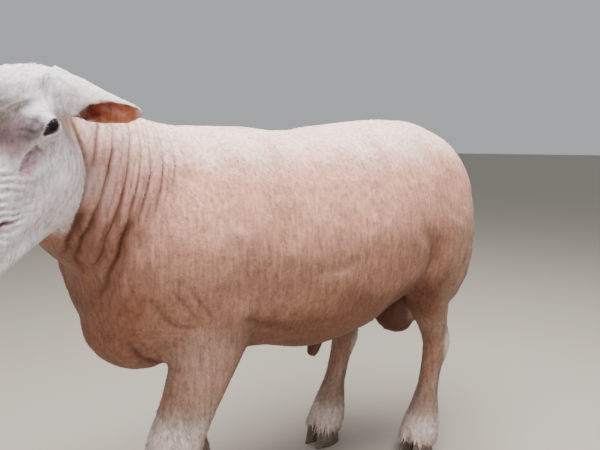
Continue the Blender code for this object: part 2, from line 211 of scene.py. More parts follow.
def meshFrom(name, bm):
    bmesh.ops.recalc_face_normals(bm, faces=bm.faces)
    mesh = bpy.data.meshes.new(name)
    bm.to_mesh(mesh)
    bm.free()
    mesh.shade_smooth()
    return mesh


def loft(bm, rings):
    # faces from each ring of points to the next
    rings = [[bm.verts.new(point) for point in ring] for ring in rings]
    for first, second in zip(rings, rings[1:]):
        for k in range(len(first)):
            after = (k + 1) % len(first)
            bm.faces.new((first[k], first[after], second[after], second[k]))
    return rings


# The skin, blocked out

earShape = {
    "length": 96,
    "droop": 60,
    "lookDown": 6,  # degrees, of its hollow from straight ahead
    "crown": 58,  # degrees, from straight back to where the leaf leaves its line
    "top": (-16, 56, 110),
    "halfWall": (3.4, 2.3),  # root, tip
    "hollowDepth": 22,
    # along the ear: the share of its length, its width, how far its front and rear edges curl round
    "leaf": ((0.00, 50, 232, 124), (0.12, 52, 222, 122), (0.25, 51, 206, 114), (0.35, 49, 182, 106),
             (0.50, 44, 138, 92), (0.68, 35, 110, 78), (0.78, 29, 98, 70), (0.88, 20.5, 84, 60),
             (0.96, 13, 74, 54), (1.00, 6, 70, 52)),
    "stations": 40,
    "across": 30,
}
earWay = np.array((0, earShape["length"], -earShape["droop"]))
skinShape = {"voxel": 2.8, "coatDepth": 2.2, "triangles": 188000, "eyeFill": 16}
whiteEdge = {
    # how far back the head's white hair goes: heights, then places along the head
    "heights": (-120, -85, -68, -40, 55, 95, 125),
    "places": (-100, -92, -83, -61.5, -49.5, 0, 18),
    "softness": 13,
}


def earLoft(bm, sign):
    # a leaf rolled into a tube at its root, held out sideways
    stations, across = earShape["stations"], earShape["across"]
    down = math.radians(earShape["lookDown"])
    back = Vector((math.cos(down), 0, math.sin(down)))
    edge = Vector((-math.sin(down), 0, math.cos(down)))
    rootWall, tipWall = metres(earShape["halfWall"])
    top, way = Vector(metres(earShape["top"])), metres(earWay)
    leaf = np.array(earShape["leaf"])
    crown = math.radians(earShape["crown"]) - down
    rings = []
    for i in range(stations):
        s = i / (stations - 1)
        s = s + 0.06 * math.sin(2 * math.pi * s)
        width, front, rear = (float(np.interp(s, leaf[:, 0], column)) for column in leaf.T[1:])
        front, rear = math.radians(front), math.radians(rear)
        radius = width / 1000 / (1 - math.cos(crown + rear))
        wall = min(rootWall + (tipWall - rootWall) * s, radius / 2)
        centre = top + Vector([length * s for length in way]) - Vector(head["up"]) * radius
        ring = []
        for side, order in ((wall, range(across)), (-wall, reversed(range(across)))):
            for k in order:
                turn = -rear + (front + rear) * k / (across - 1)
                reach = radius + side * (0.5 if k in (0, across - 1) else 1)
                point = centre + (back * math.cos(turn) + edge * math.sin(turn)) * reach
                point.y *= sign
                ring.append(headMatrix @ point)
        rings.append(ring)
    rings = loft(bm, rings)
    for ring in (rings[0], rings[-1]):
        for k in range(across - 1):
            bm.faces.new((ring[k], ring[k + 1], ring[-2 - k], ring[-1 - k]))


def onEar(h):
    # 1 on the leaf of an ear, away from the head
    s, top = sided(h), np.array(earShape["top"])
    away = alongLine(s, (top, top + earWay))[0]
    return rise(s[:, 1], 74, 86) * (away < 62) * rise(h[:, 2], 0, 12)


def headShare(h):
    # 1 on the head as far back as its white hair goes, 0 on the neck
    edge = np.interp(h[:, 2], whiteEdge["heights"], whiteEdge["places"]) + 3 * waver(h, 45, 5)
    soft = whiteEdge["softness"]
    return rise(edge - h[:, 0], -soft, soft) * rise(h[:, 2], -135, -115)


def blockedOut():
    bm = bmesh.new()
    for name in fleshNodes:
        bm.from_mesh(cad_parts[name].data)
    bmesh.ops.remove_doubles(bm, verts=bm.verts, dist=1e-5)
    for sign in (-1, 1):
        ear = bmesh.new()
        earLoft(ear, sign)
        earMesh = meshFrom("ear", ear)
        bm.from_mesh(earMesh)
        bpy.data.meshes.remove(earMesh)
        # the eye's hollow is filled until its lids are shaped
        x, y, z = metres(head["eye"])
        bmesh.ops.create_icosphere(
            bm, subdivisions=4, radius=skinShape["eyeFill"] / 1000,
            matrix=Matrix.Translation(headMatrix @ Vector((x, sign * y, z))),
        )
    mesh = bpy.data.meshes.new("skin")
    bm.to_mesh(mesh)
    bm.free()
    obj = newObject("skin", mesh)
    remesh = obj.modifiers.new("fuse", "REMESH")
    remesh.mode = "VOXEL"
    remesh.voxel_size = skinShape["voxel"] / 1000
    mesh = evaluated(obj)
    points, edges = pointsOf(mesh), edgesOf(mesh)
    h, b = inHead(points), inBody(points)
    x, z = b[:, 0], b[:, 2]
    groin = 0.85 * rise(x, 360, 420) * rise(z, 500, 440)
    sheath = rise(x, 200, 240) * rise(z, 395, 375)
    keen = np.maximum.reduce([headShare(h), rise(z, 400, 330), onEar(h), groin, sheath])
    soft = relax(points, edges, 0.5 * (1 - keen), 45)
    points = soft + relax(points - soft, edges, 0.5 * (1 - 0.9 * keen), 50)
    points = relax(points, edges, 0.5 * np.clip(1 - onEar(h), 0.14, 1), 7)
    place(mesh, points)
    print("skin blocked out:", len(points), "points")
    return obj


# Folds, hollows and features, as depths below the skin

neckFolds = {
    "valleys": (-201, -175, -145, -127, -111, -90.5, -72),
    "depths": (6.6, 6.6, 6.6, 4.6, 5.2, 4.2, 2.4),
    "ends": (600, 595, 570, 575, 580, 600, 625),  # heights where they fade out
    # the broad folds of the lower neck: the darkness of the shade painted in them and their half
    # width, then points by x and z
    "low": (
        (0.95, 5.2, ((-205, 655), (-211.4, 625), (-216.7, 596), (-212, 567), (-206, 545))),
        (0.95, 5.6, ((-184, 655), (-196.8, 625), (-202.7, 599), (-200, 570), (-189, 542),
                     (-184.9, 516), (-180, 500))),
        (0.60, 3.4, ((-160, 640), (-169, 617), (-173.5, 603), (-175.6, 574), (-179.4, 557),
                     (-181, 535))),
        (0.95, 5.4, ((-138, 640), (-144.5, 618), (-149, 603), (-155, 574), (-160, 558),
                     (-164, 540), (-166, 522), (-169, 500), (-169, 480))),
    ),
    "fineValleys": (-190, -160, -137, -119, -101, -81),
    "behindJaw": -212,
    "lean": 0.30,  # forward for each length down, above the turn
    "turnHeight": 635,
    "front": -188.7,  # the chest's front, to which they draw together below the turn
    "gather": 0.0051,
}


def foldPlace(b):
    # a coordinate that is the same all along each fold of the neck
    x, y, z = b.T
    turn, front = neckFolds["turnHeight"], neckFolds["front"]
    x = x + 0.36 * np.maximum(y + 40, 0) * rise(-x, 20, 160)
    x = front + (x - front) * np.exp(neckFolds["gather"] * np.maximum(turn - z, 0))
    x = x - neckFolds["lean"] * (np.maximum(z, turn) - 690)
    return x + 1.6 * waver(b, 100, 3) + 0.8 * waver(b, 35, 4)


def neckRelief(b, h):
    # how deep each point lies in the folds, and 1 along the lines where they meet, which get
    # painted shade
    q, (x, y, z) = foldPlace(b), b.T
    y = np.abs(y)
    onNeck = (1 - rise(headShare(h), 0.55, 0.98)) * (1 - onEar(h)) * rise(z, 420, 520)
    crest = 0.30 + 0.70 * rise(y, 35, 85)
    farSide = 1 - 0.35 * rise(b[:, 1], 0, 60)
    deep, line = np.zeros(len(b)), np.zeros(len(b))
    low = rise(z, 670, 570)
    strong = (0.78 + 0.62 * rise(z, 720, 610)) * (1 - 0.30 * rise(z, 745, 790))
    folds = zip(neckFolds["valleys"], neckFolds["depths"], neckFolds["ends"])
    for i, (middle, depth, end) in enumerate(folds):
        fade = rise(z, end, end + 90)
        width = 2.5 + 3.4 * low + 0.5 * waver(b, 80, 20 + i)
        deep += depth * strong * fade * (0.7 * hill(q, middle, width) + 0.3 * hill(q, middle, 6.5))
        deep -= 1.8 * strong * fade * hill(q, middle + 10, 7)
        share = hill(q, middle, 1.6 + 3.6 * low) * fade * (0.75 + 0.35 * waver(b, 50, 30 + i))
        line = np.maximum(line, share * (0.62 + 0.38 * rise(z, 750, 680)))
    for i, middle in enumerate(neckFolds["fineValleys"]):
        patch = rise(waver(b, 90, 40 + i), -0.5, 0.5) * rise(z, 520, 620)
        deep += 2 * hill(q, middle, 2.2) * patch
        line = np.maximum(line, 0.50 * hill(q, middle, 1.3) * patch)
    behind = hill(x + 0.29 * (z - 726), neckFolds["behindJaw"], 3)
    behind = behind * rise(z, 680, 700) * (1 - rise(z, 750, 780))
    deep += 4.2 * behind
    line = np.clip(np.maximum(line, 0.8 * behind), 0, 1)
    deep, line = deep * onNeck * crest * farSide, line * onNeck * crest
    flat = b[:, [0, 2]] + 2 * waver(b, 50, 38)[:, None]
    outer = rise(y, 28, 62)
    for dark, width, middles in neckFolds["low"]:
        away, along = alongLine(flat, middles)
        ends = fadedEnds(along, 0.22, 0.25) * (1 - rise(headShare(h), 0.5, 0.9))
        deep += ends * outer * (1.3 * width * hill(away, 0, width) - 2 * hill(away, 12.5, 6))
        line = np.maximum(line, dark * ends * (0.12 + 0.88 * outer) * hill(away, 0, width))
    return deep, np.clip(line, 0, 1)


bodyCreases = (
    # half width, depth and darkness of the painted shade, then a line in the body's frame by x and
    # z; on both sides
    (20, 3.5, 0.15, ((36, 600), (40, 540), (50, 475))),
    (6, 3, 0.60, ((-119, 503), (-106, 484), (-91, 467), (-74, 456), (-56, 453), (-38, 455))),
    (4.5, 2.2, 0.55, ((-92, 516), (-75, 496), (-64, 483), (-43, 457))),
    (4.5, 1.8, 0.45, ((-71, 518), (-55, 498), (-40, 481), (-26, 462))),
    (8, 4, 0.60, ((30, 452), (73, 436), (175, 396))),
    (22, 6, 0.25, ((464, 580), (522, 507), (548, 405))),
    (8, 3, 0.50, ((490, 455), (520, 425), (560, 392))),
    (5.5, 4.4, 0.95, ((-132, 428), (-123, 416), (-110, 401), (-92, 389), (-68, 380))),
)
shearPasses = (
    # pale ridges that the shears left along the flank and thigh, by x and z
    ((130, 646), (202, 656), (251, 663), (301, 666), (359, 660)),
    ((170, 607), (235, 616), (290, 623), (328, 634)),
    ((170, 553), (248, 563), (306, 571), (351, 580), (373, 605), (371, 628)),
    ((150, 497), (208, 499), (249, 503), (300, 514)),
    ((533, 606), (593, 572), (623, 540)),
    ((540, 642), (596, 622), (640, 588)),
    ((-20, 602), (20, 590), (52, 560)),
)
bodyForms = (
    # depth, middle and radii; on both sides
    (-4, (500, 98, 735), (50, 30, 24)),  # hip bone
    (-3, (700, 60, 690), (30, 26, 40)),  # pin bone
    (1.8, (590, 120, 690), (50, 40, 60)),
    (-2.5, (-55, 120, 640), (22, 50, 75)),  # shoulder blade's front edge
    (-4, (-115, 105, 520), (35, 40, 40)),  # point of the shoulder
    (7.5, (-200, 0, 500), (40, 90, 50)),  # front of the chest
)
sags = (
    # how far up, middle and radii
    (24, (462, 140, 398), (55, 45, 36)),  # free edge of the flank, before the thigh; on both sides
    (-17, (260, 0, 355), (100, 140, 60)),  # belly
    (-8, (325, -8, 296), (40, 46, 34)),  # sheath
)


def shearShare(b):
    share = np.zeros(len(b))
    for i, line in enumerate(shearPasses):
        away, along = alongLine(b[:, [0, 2]] + 3 * waver(b, 90, 80 + i)[:, None], line)
        ends = fadedEnds(along, 0.35, 0.35) * (0.70 + 0.35 * waver(b, 50, 90 + i))
        share = np.maximum(share, hill(away, 0, 8) * ends)
    return np.clip(share, 0, 1) * rise(np.abs(b[:, 1]), 60, 100)


def creaseRelief(b):
    # how deep each point lies in the creases, and how much shade is painted there
    deep, line = np.zeros(len(b)), np.zeros(len(b))
    outer = rise(np.abs(b[:, 1]), 20, 60)
    flat = b[:, [0, 2]] + waver(b, 60, 39)[:, None]
    for width, depth, dark, chain in bodyCreases:
        away, share = alongLine(flat, chain)
        own = (0.35 + 0.65 * fadedEnds(share, 0.25, 0.25)) * outer
        deep += depth * hill(away, 0, width) * own
        line = np.maximum(line, dark * hill(away, 0, 0.75 * width) * own)
    return deep, line


def bodyRelief(b):
    x, y, z = b.T
    deep = creaseRelief(b)[0] - 0.7 * shearShare(b)
    ribs = rise(x, 60, 120) * rise(x, 400, 320) * rise(z, 400, 470) * rise(z, 700, 620)
    deep += 0.3 * ribs * ripple((x + 0.25 * z) / 34)
    spine = rise(z, 700, 740) * rise(x, 0, 120) * rise(x, 700, 620)
    deep += 3 * spine * hill(y, 0, 16) + mounds(sided(b), bodyForms)
    # soft unevenness of flesh and fleece
    deep += 0.9 * waver(b, 110, 7) + 0.5 * waver(b, 45, 8)
    return deep * rise(z, 340, 420)


muzzle = {
    # the mouth's line from its corner to the front: distance from the skull's back, height
    "mouth": ((178, -4), (194, 7), (215, 4), (245, -6), (275, -16), (302, -20)),
    # chains by x, |y| and z
    "nostril": ((-270, 30, 26), (-283, 26, 20), (-293, 17, 9), (-298, 8.5, -1)),
    "pit": ((-137, 56.5, 40), (-118, 62, 50)),
    "pitCrease": ((-144, 53, 38), (-136, 54, 47), (-128, 56, 52), (-114, 63, 57)),
    "pitRear": ((-116, 62, 57), (-111, 64, 50), (-110, 65, 43)),
    "browCrease": ((-130, 53, 87), (-123, 62, 84), (-113, 71, 75)),
    "pollEdge": ((-70, 0, 106), (-66, 30, 105), (-48, 58, 98)),
}
faceForms = (
    (3, (-50, 60, 88), (22, 30, 20)),  # temple
    (3, (-148, 30, 85), (28, 16, 20)),  # beside the nose
    (4, (-165, 52, 0), (35, 14, 20)),  # before the cheek
    (-2.2, (-135, 58, 26), (34, 20, 8)),  # crest of the cheek
    (-3, (-268, 0, -46), (22, 22, 14)),  # chin
)
faceLines = (
    # depth, chain, distance from it and half width
    (3.4, "pit", 0, 5.2), (-1, "pit", 10.5, 4), (2.6, "pitCrease", 0, 1.8),
    (0.9, "browCrease", 0, 2.6), (-1.8, "nostril", 7, 3), (2.6, "pollEdge", 0, 8),
)


def besideChain(s, name):
    return alongLine(s, muzzle[name])[0]


def mouthHeight(h):
    line = np.array(muzzle["mouth"])
    return np.interp(-h[:, 0], line[:, 0], line[:, 1])


def muzzleWrinkles(h):
    # -1 to 1 over the wrinkles beside the nose
    x, y, z = sided(h).T
    where = rise(x, -140, -160) * rise(x, -245, -205) * rise(y, 28, 42)
    where = where * rise(z, -25, 0) * (0.8 + 0.5 * waver(h, 30, 16))
    return where * ripple((h @ np.array(head["up"]) + 2.6 * waver(h, 42, 17)) / 9.2)


def cheekLines(h):
    # -1 to 1 over the loose skin at the jaw's corner
    x, z = h[:, 0], h[:, 2]
    where = rise(x, -105, -70) * rise(z, 45, -5)
    return where * ripple((x - 0.60 * z + 4 * waver(h, 50, 15)) / 10.5)


def faceRelief(h):
    s = sided(h)
    u, y, z = -s[:, 0], s[:, 1], s[:, 2]
    deep = mounds(s, faceForms) + muzzleWrinkles(h) + 0.9 * cheekLines(h)
    for depth, name, middle, width in faceLines:
        deep += depth * hill(besideChain(s, name), middle, width)
    # wrinkles across the nose and round the muzzle
    across = rise(u, 142, 165) * rise(u, 262, 235) * rise(z, -12, 10)
    across = across * 0.65 * (1 - 0.85 * rise(y, 24, 40))
    coarse = ripple((u + 0.25 * z + 3.5 * waver(h, 30, 11)) / 8.8) * (0.7 + 0.5 * waver(h, 40, 12))
    fine = ripple((u + 0.10 * z + 3 * waver(h, 22, 13)) / 5.2)
    deep += across * (0.6 * coarse + 0.22 * fine)
    lips = rise(u, 215, 240) * rise(z, -4, -14)
    deep += 0.5 * lips * ripple((z - 0.3 * u + 2 * waver(h, 20, 14)) / 6.5)
    # the mouth: a crease, a full upper lip and a lower lip drawn in
    away, mouth = z - mouthHeight(h), rise(u, 174, 186)
    deep += mouth * (5.2 * hill(away, 0, 2.1) + 1.6 * hill(away, -7, 6))
    deep -= mouth * 1.6 * hill(away, 8, 6) * rise(u, 200, 240)
    # the groove that parts the upper lip
    deep += 3 * hill(y, 0, 2) * rise(u, 270, 285) * rise(z, -22, -16)
    return deep * rise(headShare(h), 0, 0.5) * (1 - onEar(h))


def legLines():
    # each leg's middle at every height, read from its solid
    lines = {}
    for kind, side in legKeys:
        points = inBody(pointsOf(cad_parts[f"{kind}leg_{side}"].data))
        heights = np.linspace(30, 340, 16)
        rows = []
        for height in heights:
            near = points[np.abs(points[:, 2] - height) < 22][:, :2]
            low, high = near.min(0), near.max(0)
            rows.append((*(low + high) / 2, *(high - low) / 2))
        lines[kind, side] = (heights, np.array(rows))
    return lines


legs = legLines()


def legSection(key, z):
    # the leg's middle and half sizes at these heights
    heights, rows = legs[key]
    return (np.interp(z, heights, column) for column in rows.T)


def inLeg(b, key):
    # ahead of and out from the leg's middle, as shares of its half sizes there, and 1 on this leg
    x, y, reachX, reachY = legSection(key, b[:, 2])
    ahead, out = (x - b[:, 0]) / reachX, (b[:, 1] - y) / reachY * (-1 if key[1] == "left" else 1)
    own = (np.abs(ahead) < 1.7) * (np.abs(out) < 1.8) * (b[:, 2] < 360)
    return ahead, out, own.astype(float)


def legRelief(b):
    deep, z = np.zeros(len(b)), b[:, 2]
    cannon = rise(z, 105, 135) * rise(z, 235, 190)
    tendon = rise(z, 262, 285) * rise(z, 345, 310)
    for key in legs:
        ahead, out, own = inLeg(b, key)
        side = np.abs(out)
        form = 2.6 * cannon * hill(ahead, -0.30, 0.22) * rise(side, 0.5, 0.8)
        form += 6 * rise(z, 78, 60) * hill(out, 0, 0.16) * rise(np.abs(ahead), 0.6, 0.9)  # cleft
        if key[0] == "hind":
            form += 4 * tendon * hill(ahead, -0.42, 0.20) * rise(side, 0.4, 0.8)
            form -= 2 * hill(z, 245, 14) * hill(ahead, 0.1, 0.4) * rise(side, 0.5, 0.9)  # hock bone
        else:
            form -= 1.2 * hill(z, 238, 20) * rise(ahead, 0.3, 0.8)  # knee
            form += (2 * hill(z, 262, 7) + 1.4 * hill(z, 214, 6)) * rise(ahead, 0.5, 0.9)
        deep += own * form
    return deep


def refine(mesh, chosen):
    # halves the edges whose two ends are chosen
    bm = bmesh.new()
    bm.from_mesh(mesh)
    bm.edges.ensure_lookup_table()
    both = chosen[edgesOf(mesh)].all(1)
    cut = [bm.edges[i] for i in np.flatnonzero(both)]
    bmesh.ops.subdivide_edges(bm, edges=cut, cuts=1, use_grid_fill=True)
    bm.to_mesh(mesh)
    bm.free()


lids = {
    "radius": 15.5,
    "gaze": (-0.24, 0.92, 0.29),  # in the head's frame, on its +Y side
    "long": (0.90, 0.42, 0.22),
    "halfLength": 11.8,
    "upper": 5.1,
    "lower": 3.7,
    "thickness": 1.9,
    "blend": 4,
}


def lidAxes(sign):
    gaze, along, eye = (
        Vector((x, sign * y, z)) for x, y, z in (lids["gaze"], lids["long"], metres(head["eye"]))
    )
    gaze.normalize()
    along = (along - gaze * along.dot(gaze)).normalized()
    upward = gaze.cross(along)
    if upward.z < 0:
        upward = -upward
    return np.array(eye) * 1000, np.array(gaze), np.array(along), np.array(upward)


def fromLids(h, sign):
    # signed distance outside the eye's almond opening, the distance ahead, and the place across
    eye, gaze, along, upward = lidAxes(sign)
    local = h - eye
    a, v, ahead = local @ along, local @ upward, local @ gaze
    share = np.clip(np.abs(a) / lids["halfLength"], 0, 1)
    over = np.abs(v) - np.where(v > 0, lids["upper"], lids["lower"]) * (1 - share**2.2)
    past = np.maximum(np.abs(a) - lids["halfLength"], 0)
    outside = np.hypot(np.maximum(over, 0), past)
    return np.where(outside > 0, outside, np.minimum(over, 0)), ahead, v


def shapeLids(points):
    h = inHead(points)
    radius, thick, smooth = lids["radius"], lids["thickness"], lids["blend"]
    for sign in (-1, 1):
        eye = lidAxes(sign)[0]
        away, ahead, v = fromLids(h, sign)
        local = h - eye
        reach = np.linalg.norm(local, axis=1)
        near = (reach < 45) & (ahead > 1)
        rim = radius - 3.5 + (3.5 + thick * 0.75) * rise(away, -0.8, 0.9)
        rim = rim + thick * 0.25 * rise(away, 0.9, 2.2)
        cover = radius + thick - 0.20 * np.maximum(away - 4, 0)
        fold = 1.1 * hill(away, 5.2, 1) * rise(v, 0, 4) + 0.7 * hill(away, 4.5, 1) * rise(v, 0, -3)
        apart = np.clip(0.5 + 0.5 * (reach - cover) / smooth, 0, 1)
        outer = cover + (reach - cover) * apart + smooth * apart * (1 - apart) - fold
        blend = rise(away, 1.6, 3)
        wanted = rim * (1 - blend) + outer * blend
        wanted = wanted + (reach - wanted) * rise(reach, 36, 45)
        wanted = reach + (wanted - reach) * rise(ahead, 1, 4)
        h[near] = eye + local[near] * (wanted / reach)[near, None]
    return fromHead(h)


def carveNostrils(points):
    h = inHead(points)
    away, share = alongLine(sided(h), muzzle["nostril"])
    middle = np.sin(math.pi * share)
    depth = 8.5 * hill(away, 0, 2.6 + 1.2 * middle) * (0.45 + 0.55 * middle**0.7)
    h[:, 0] += depth * 0.92
    h[:, 1] -= np.sign(h[:, 1]) * depth * 0.38
    return fromHead(h)


def sculpted(obj):
    mesh = obj.data
    points = pointsOf(mesh)
    refine(mesh, neckRelief(inBody(points), inHead(points))[0] > 1.6)
    points = pointsOf(mesh)
    h, b = inHead(points), inBody(points)
    white, ear = headShare(h), onEar(h)
    deep = neckRelief(b, h)[0] + bodyRelief(b) * (1 - white) * (1 - ear) + legRelief(b)
    deep += skinShape["coatDepth"] * (1 - 0.45 * white - 0.45 * ear)
    points = points - normalsOf(mesh) * deep[:, None] / 1000
    points[:, 2] += (mounds(sided(b), sags[:1]) + mounds(b, sags[1:])) / 1000
    place(mesh, points)

    h = inHead(pointsOf(mesh))
    x, y, z = sided(h).T
    z = np.abs(z)
    front = (x < -225) & (y < 80) & (z < 90)
    side = (besideChain(sided(h), "pit") < 20) | ((x < -165) & (z < 55) & (y < 80))
    refine(mesh, nearEye(h, 40) | front | side)
    h = inHead(pointsOf(mesh))
    place(mesh, pointsOf(mesh) - normalsOf(mesh) * faceRelief(h)[:, None] / 1000)

    h = inHead(pointsOf(mesh))
    refine(mesh, nearEye(h, 25) | (besideChain(sided(h), "nostril") < 9))
    points = shapeLids(carveNostrils(pointsOf(mesh)))
    place(mesh, points)
    mesh.shade_smooth()
    print("skin sculpted:", len(points), "points")


def nearEye(h, reach):
    return np.linalg.norm(sided(h) - np.array(head["eye"]), axis=1) < reach


def thinned(obj):
    # fewer triangles where the form is flattest, and as many round eyes, nostrils and in folds
    points = pointsOf(obj.data)
    h = inHead(points)
    kept = nearEye(h, 26) | (besideChain(sided(h), "nostril") < 10)
    kept |= neckRelief(inBody(points), h)[0] > 1.4
    group = obj.vertex_groups.new(name="free")
    group.add([int(i) for i in np.flatnonzero(~kept)], 1.0, "REPLACE")
    thin = obj.modifiers.new("thin", "DECIMATE")
    count = sum(len(face.vertices) - 2 for face in obj.data.polygons)
    thin.ratio = min(skinShape["triangles"] / count, 1)
    thin.vertex_group = "free"
    thin.use_collapse_triangulate = True
    mesh = evaluated(obj)
    obj.vertex_groups.clear()
    mesh.shade_smooth()
    print("skin thinned:", count, "to", len(mesh.polygons), "triangles")


# Markings and painted light and shade: each colour is laid over the ones before it, by its share of
# every point

# some of these colours are painted light and shade, as said where they are laid
tints = {
    "side": (0.73, 0.35, 0.245),
    "neck": (0.56, 0.29, 0.25),
    "back": (0.97, 0.68, 0.59),
    "low": (0.34, 0.160, 0.100),
    "belly": (0.180, 0.072, 0.038),
    "chest": (0.21, 0.080, 0.042),
    "brown": (0.27, 0.115, 0.065),
    "fold": (0.105, 0.034, 0.018),
    "white": (0.77, 0.71, 0.75),
    "pale": (0.92, 0.86, 0.90),
    "cream": (0.58, 0.46, 0.41),
    "leg": (0.32, 0.205, 0.155),
    "legShade": (0.19, 0.12, 0.09),
    "foreleg": (0.40, 0.24, 0.18),
    "dirt": (0.24, 0.14, 0.09),
    "thigh": (0.38, 0.22, 0.15),
    "tan": (0.062, 0.038, 0.024),
    "stain": (0.52, 0.38, 0.31),
    "bare": (0.120, 0.073, 0.076),
    "rosy": (0.58, 0.36, 0.37),
    "pit": (0.37, 0.19, 0.24),
    "lip": (0.50, 0.30, 0.28),
    "groove": (0.42, 0.37, 0.39),
    "earInside": (0.50, 0.135, 0.060),
    "earDeep": (0.16, 0.030, 0.018),
    "earPale": (0.76, 0.46, 0.36),
    "dark": (0.090, 0.030, 0.014),
    "lid": (0.018, 0.010, 0.009),
}


def alongEar(h):
    # the share of the ear's length, 0 at its root
    return (np.abs(h[:, 1]) - earShape["top"][1]) / earShape["length"]


def earHollow(h, normals):
    # 1 on the inner face of an ear
    n = normals @ headAxes
    n[:, 1] *= np.sign(h[:, 1])
    middle = np.array(earShape["top"]) + np.clip(alongEar(h), 0, 1)[:, None] * earWay
    outward = sided(h) - middle + earShape["hollowDepth"] * np.array(head["up"])
    outward[:, 1] = 0
    inner = -(outward * n).sum(1) / np.maximum(np.linalg.norm(outward, axis=1), 0.01)
    return rise(inner, -0.1, 0.25) * onEar(h)


def nearNode(name, points, reach):
    # 1 on the part of the skin that came from this node, fading over a short way
    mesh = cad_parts[name].data
    faces = [list(face.vertices) for face in mesh.polygons]
    tree = BVHTree.FromPolygons([v.co for v in mesh.vertices], faces)
    low, high = (np.array(corner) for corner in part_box(name))
    inside = ((points > low - 0.03) & (points < high + 0.03)).all(1)
    away = np.zeros(len(points))
    for i in np.flatnonzero(inside):
        away[i] = tree.find_nearest(Vector(points[i]))[3] * 1000
    return inside * (1 - rise(away, 0.3 * reach, reach))


def regions(points, normals):
    b, h = inBody(points), inHead(points)
    s, z = sided(h), b[:, 2]
    u, y, v = -s[:, 0], s[:, 1], s[:, 2]
    ear = onEar(h)
    white = np.maximum(headShare(h), ear)
    bag = np.maximum(nearNode("scrotum", points, 10), nearNode("sheath", points, 10))
    # woolly knees, pasterns and hocks
    wool, patch, legFront, lid, lash = np.zeros((5, len(b)))
    for key in legs:
        ahead, _, own = inLeg(b, key)
        legFront = np.maximum(legFront, own * rise(ahead, 0, 0.8))
        wool = np.maximum(wool, own * rise(z, 40, 55) * rise(z, 118, 80))
        if key[0] == "fore":
            knee = rise(z, 195, 225) * rise(z, 325, 285)
            wool = np.maximum(wool, own * knee * rise(ahead, -0.9, 0.1))
        else:
            hock = spot(np.column_stack([ahead, z]), (-0.62, 250), (0.80, 42))
            patch = np.maximum(patch, own * rise(hock, 0.22, 0.55))
    # bare skin of the face
    pit = 1 - rise(besideChain(s, "pit"), 5.5, 12)
    rim, away = besideChain(s, "nostril"), v - mouthHeight(h)
    lips = rise(u, 176, 190) * (1 - rise(np.abs(away), 3, 8))
    nose = rise(u, 272, 288) * rise(v, -22, -10) * rise(y, 26, 14)
    lips = np.maximum.reduce([lips, nose, 1 - rise(rim, 6, 10)]) * white
    nostril = (1 - rise(rim, 2.8, 5)) * white
    corner = spot(s, (-120, 64, 79), (15, 14, 12))
    for sign in (-1, 1):
        out, forward, up = fromLids(h, sign)
        near = (np.linalg.norm(h - lidAxes(sign)[0], axis=1) < 30) & (forward > 1)
        lid = np.maximum(lid, near * (1 - rise(out, 2, 4)))
        lash = np.maximum(lash, near * hill(out, 1.4, 0.9) * rise(up, -1, 2))
    bare = np.maximum.reduce([lid, pit * 0.85, corner * 0.8, lips * 0.8, nostril])
    deep, line = neckRelief(b, h)
    return {
        "ear": ear, "head": white, "hollow": earHollow(h, normals), "bag": bag,
        "leg": rise(z, 350, 290) * (1 - bag), "wool": wool, "hock": patch, "legFront": legFront,
        "poll": rise(h[:, 2], 88, 108) * rise(h[:, 0], -85, -50) * (1 - ear) * white,
        "lids": lid, "lashes": lash, "pit": pit, "nostril": nostril, "lips": lips,
        "mouth": rise(u, 178, 190) * hill(away, 0, 1.6) * white, "bare": np.clip(bare, 0, 1),
        # the folds' depth, and the lines of folds and creases that get painted shade
        "fold": np.clip(deep / 4.2, 0, 1), "foldLine": line,
        "crease": creaseRelief(b)[1] * (1 - white),
    }


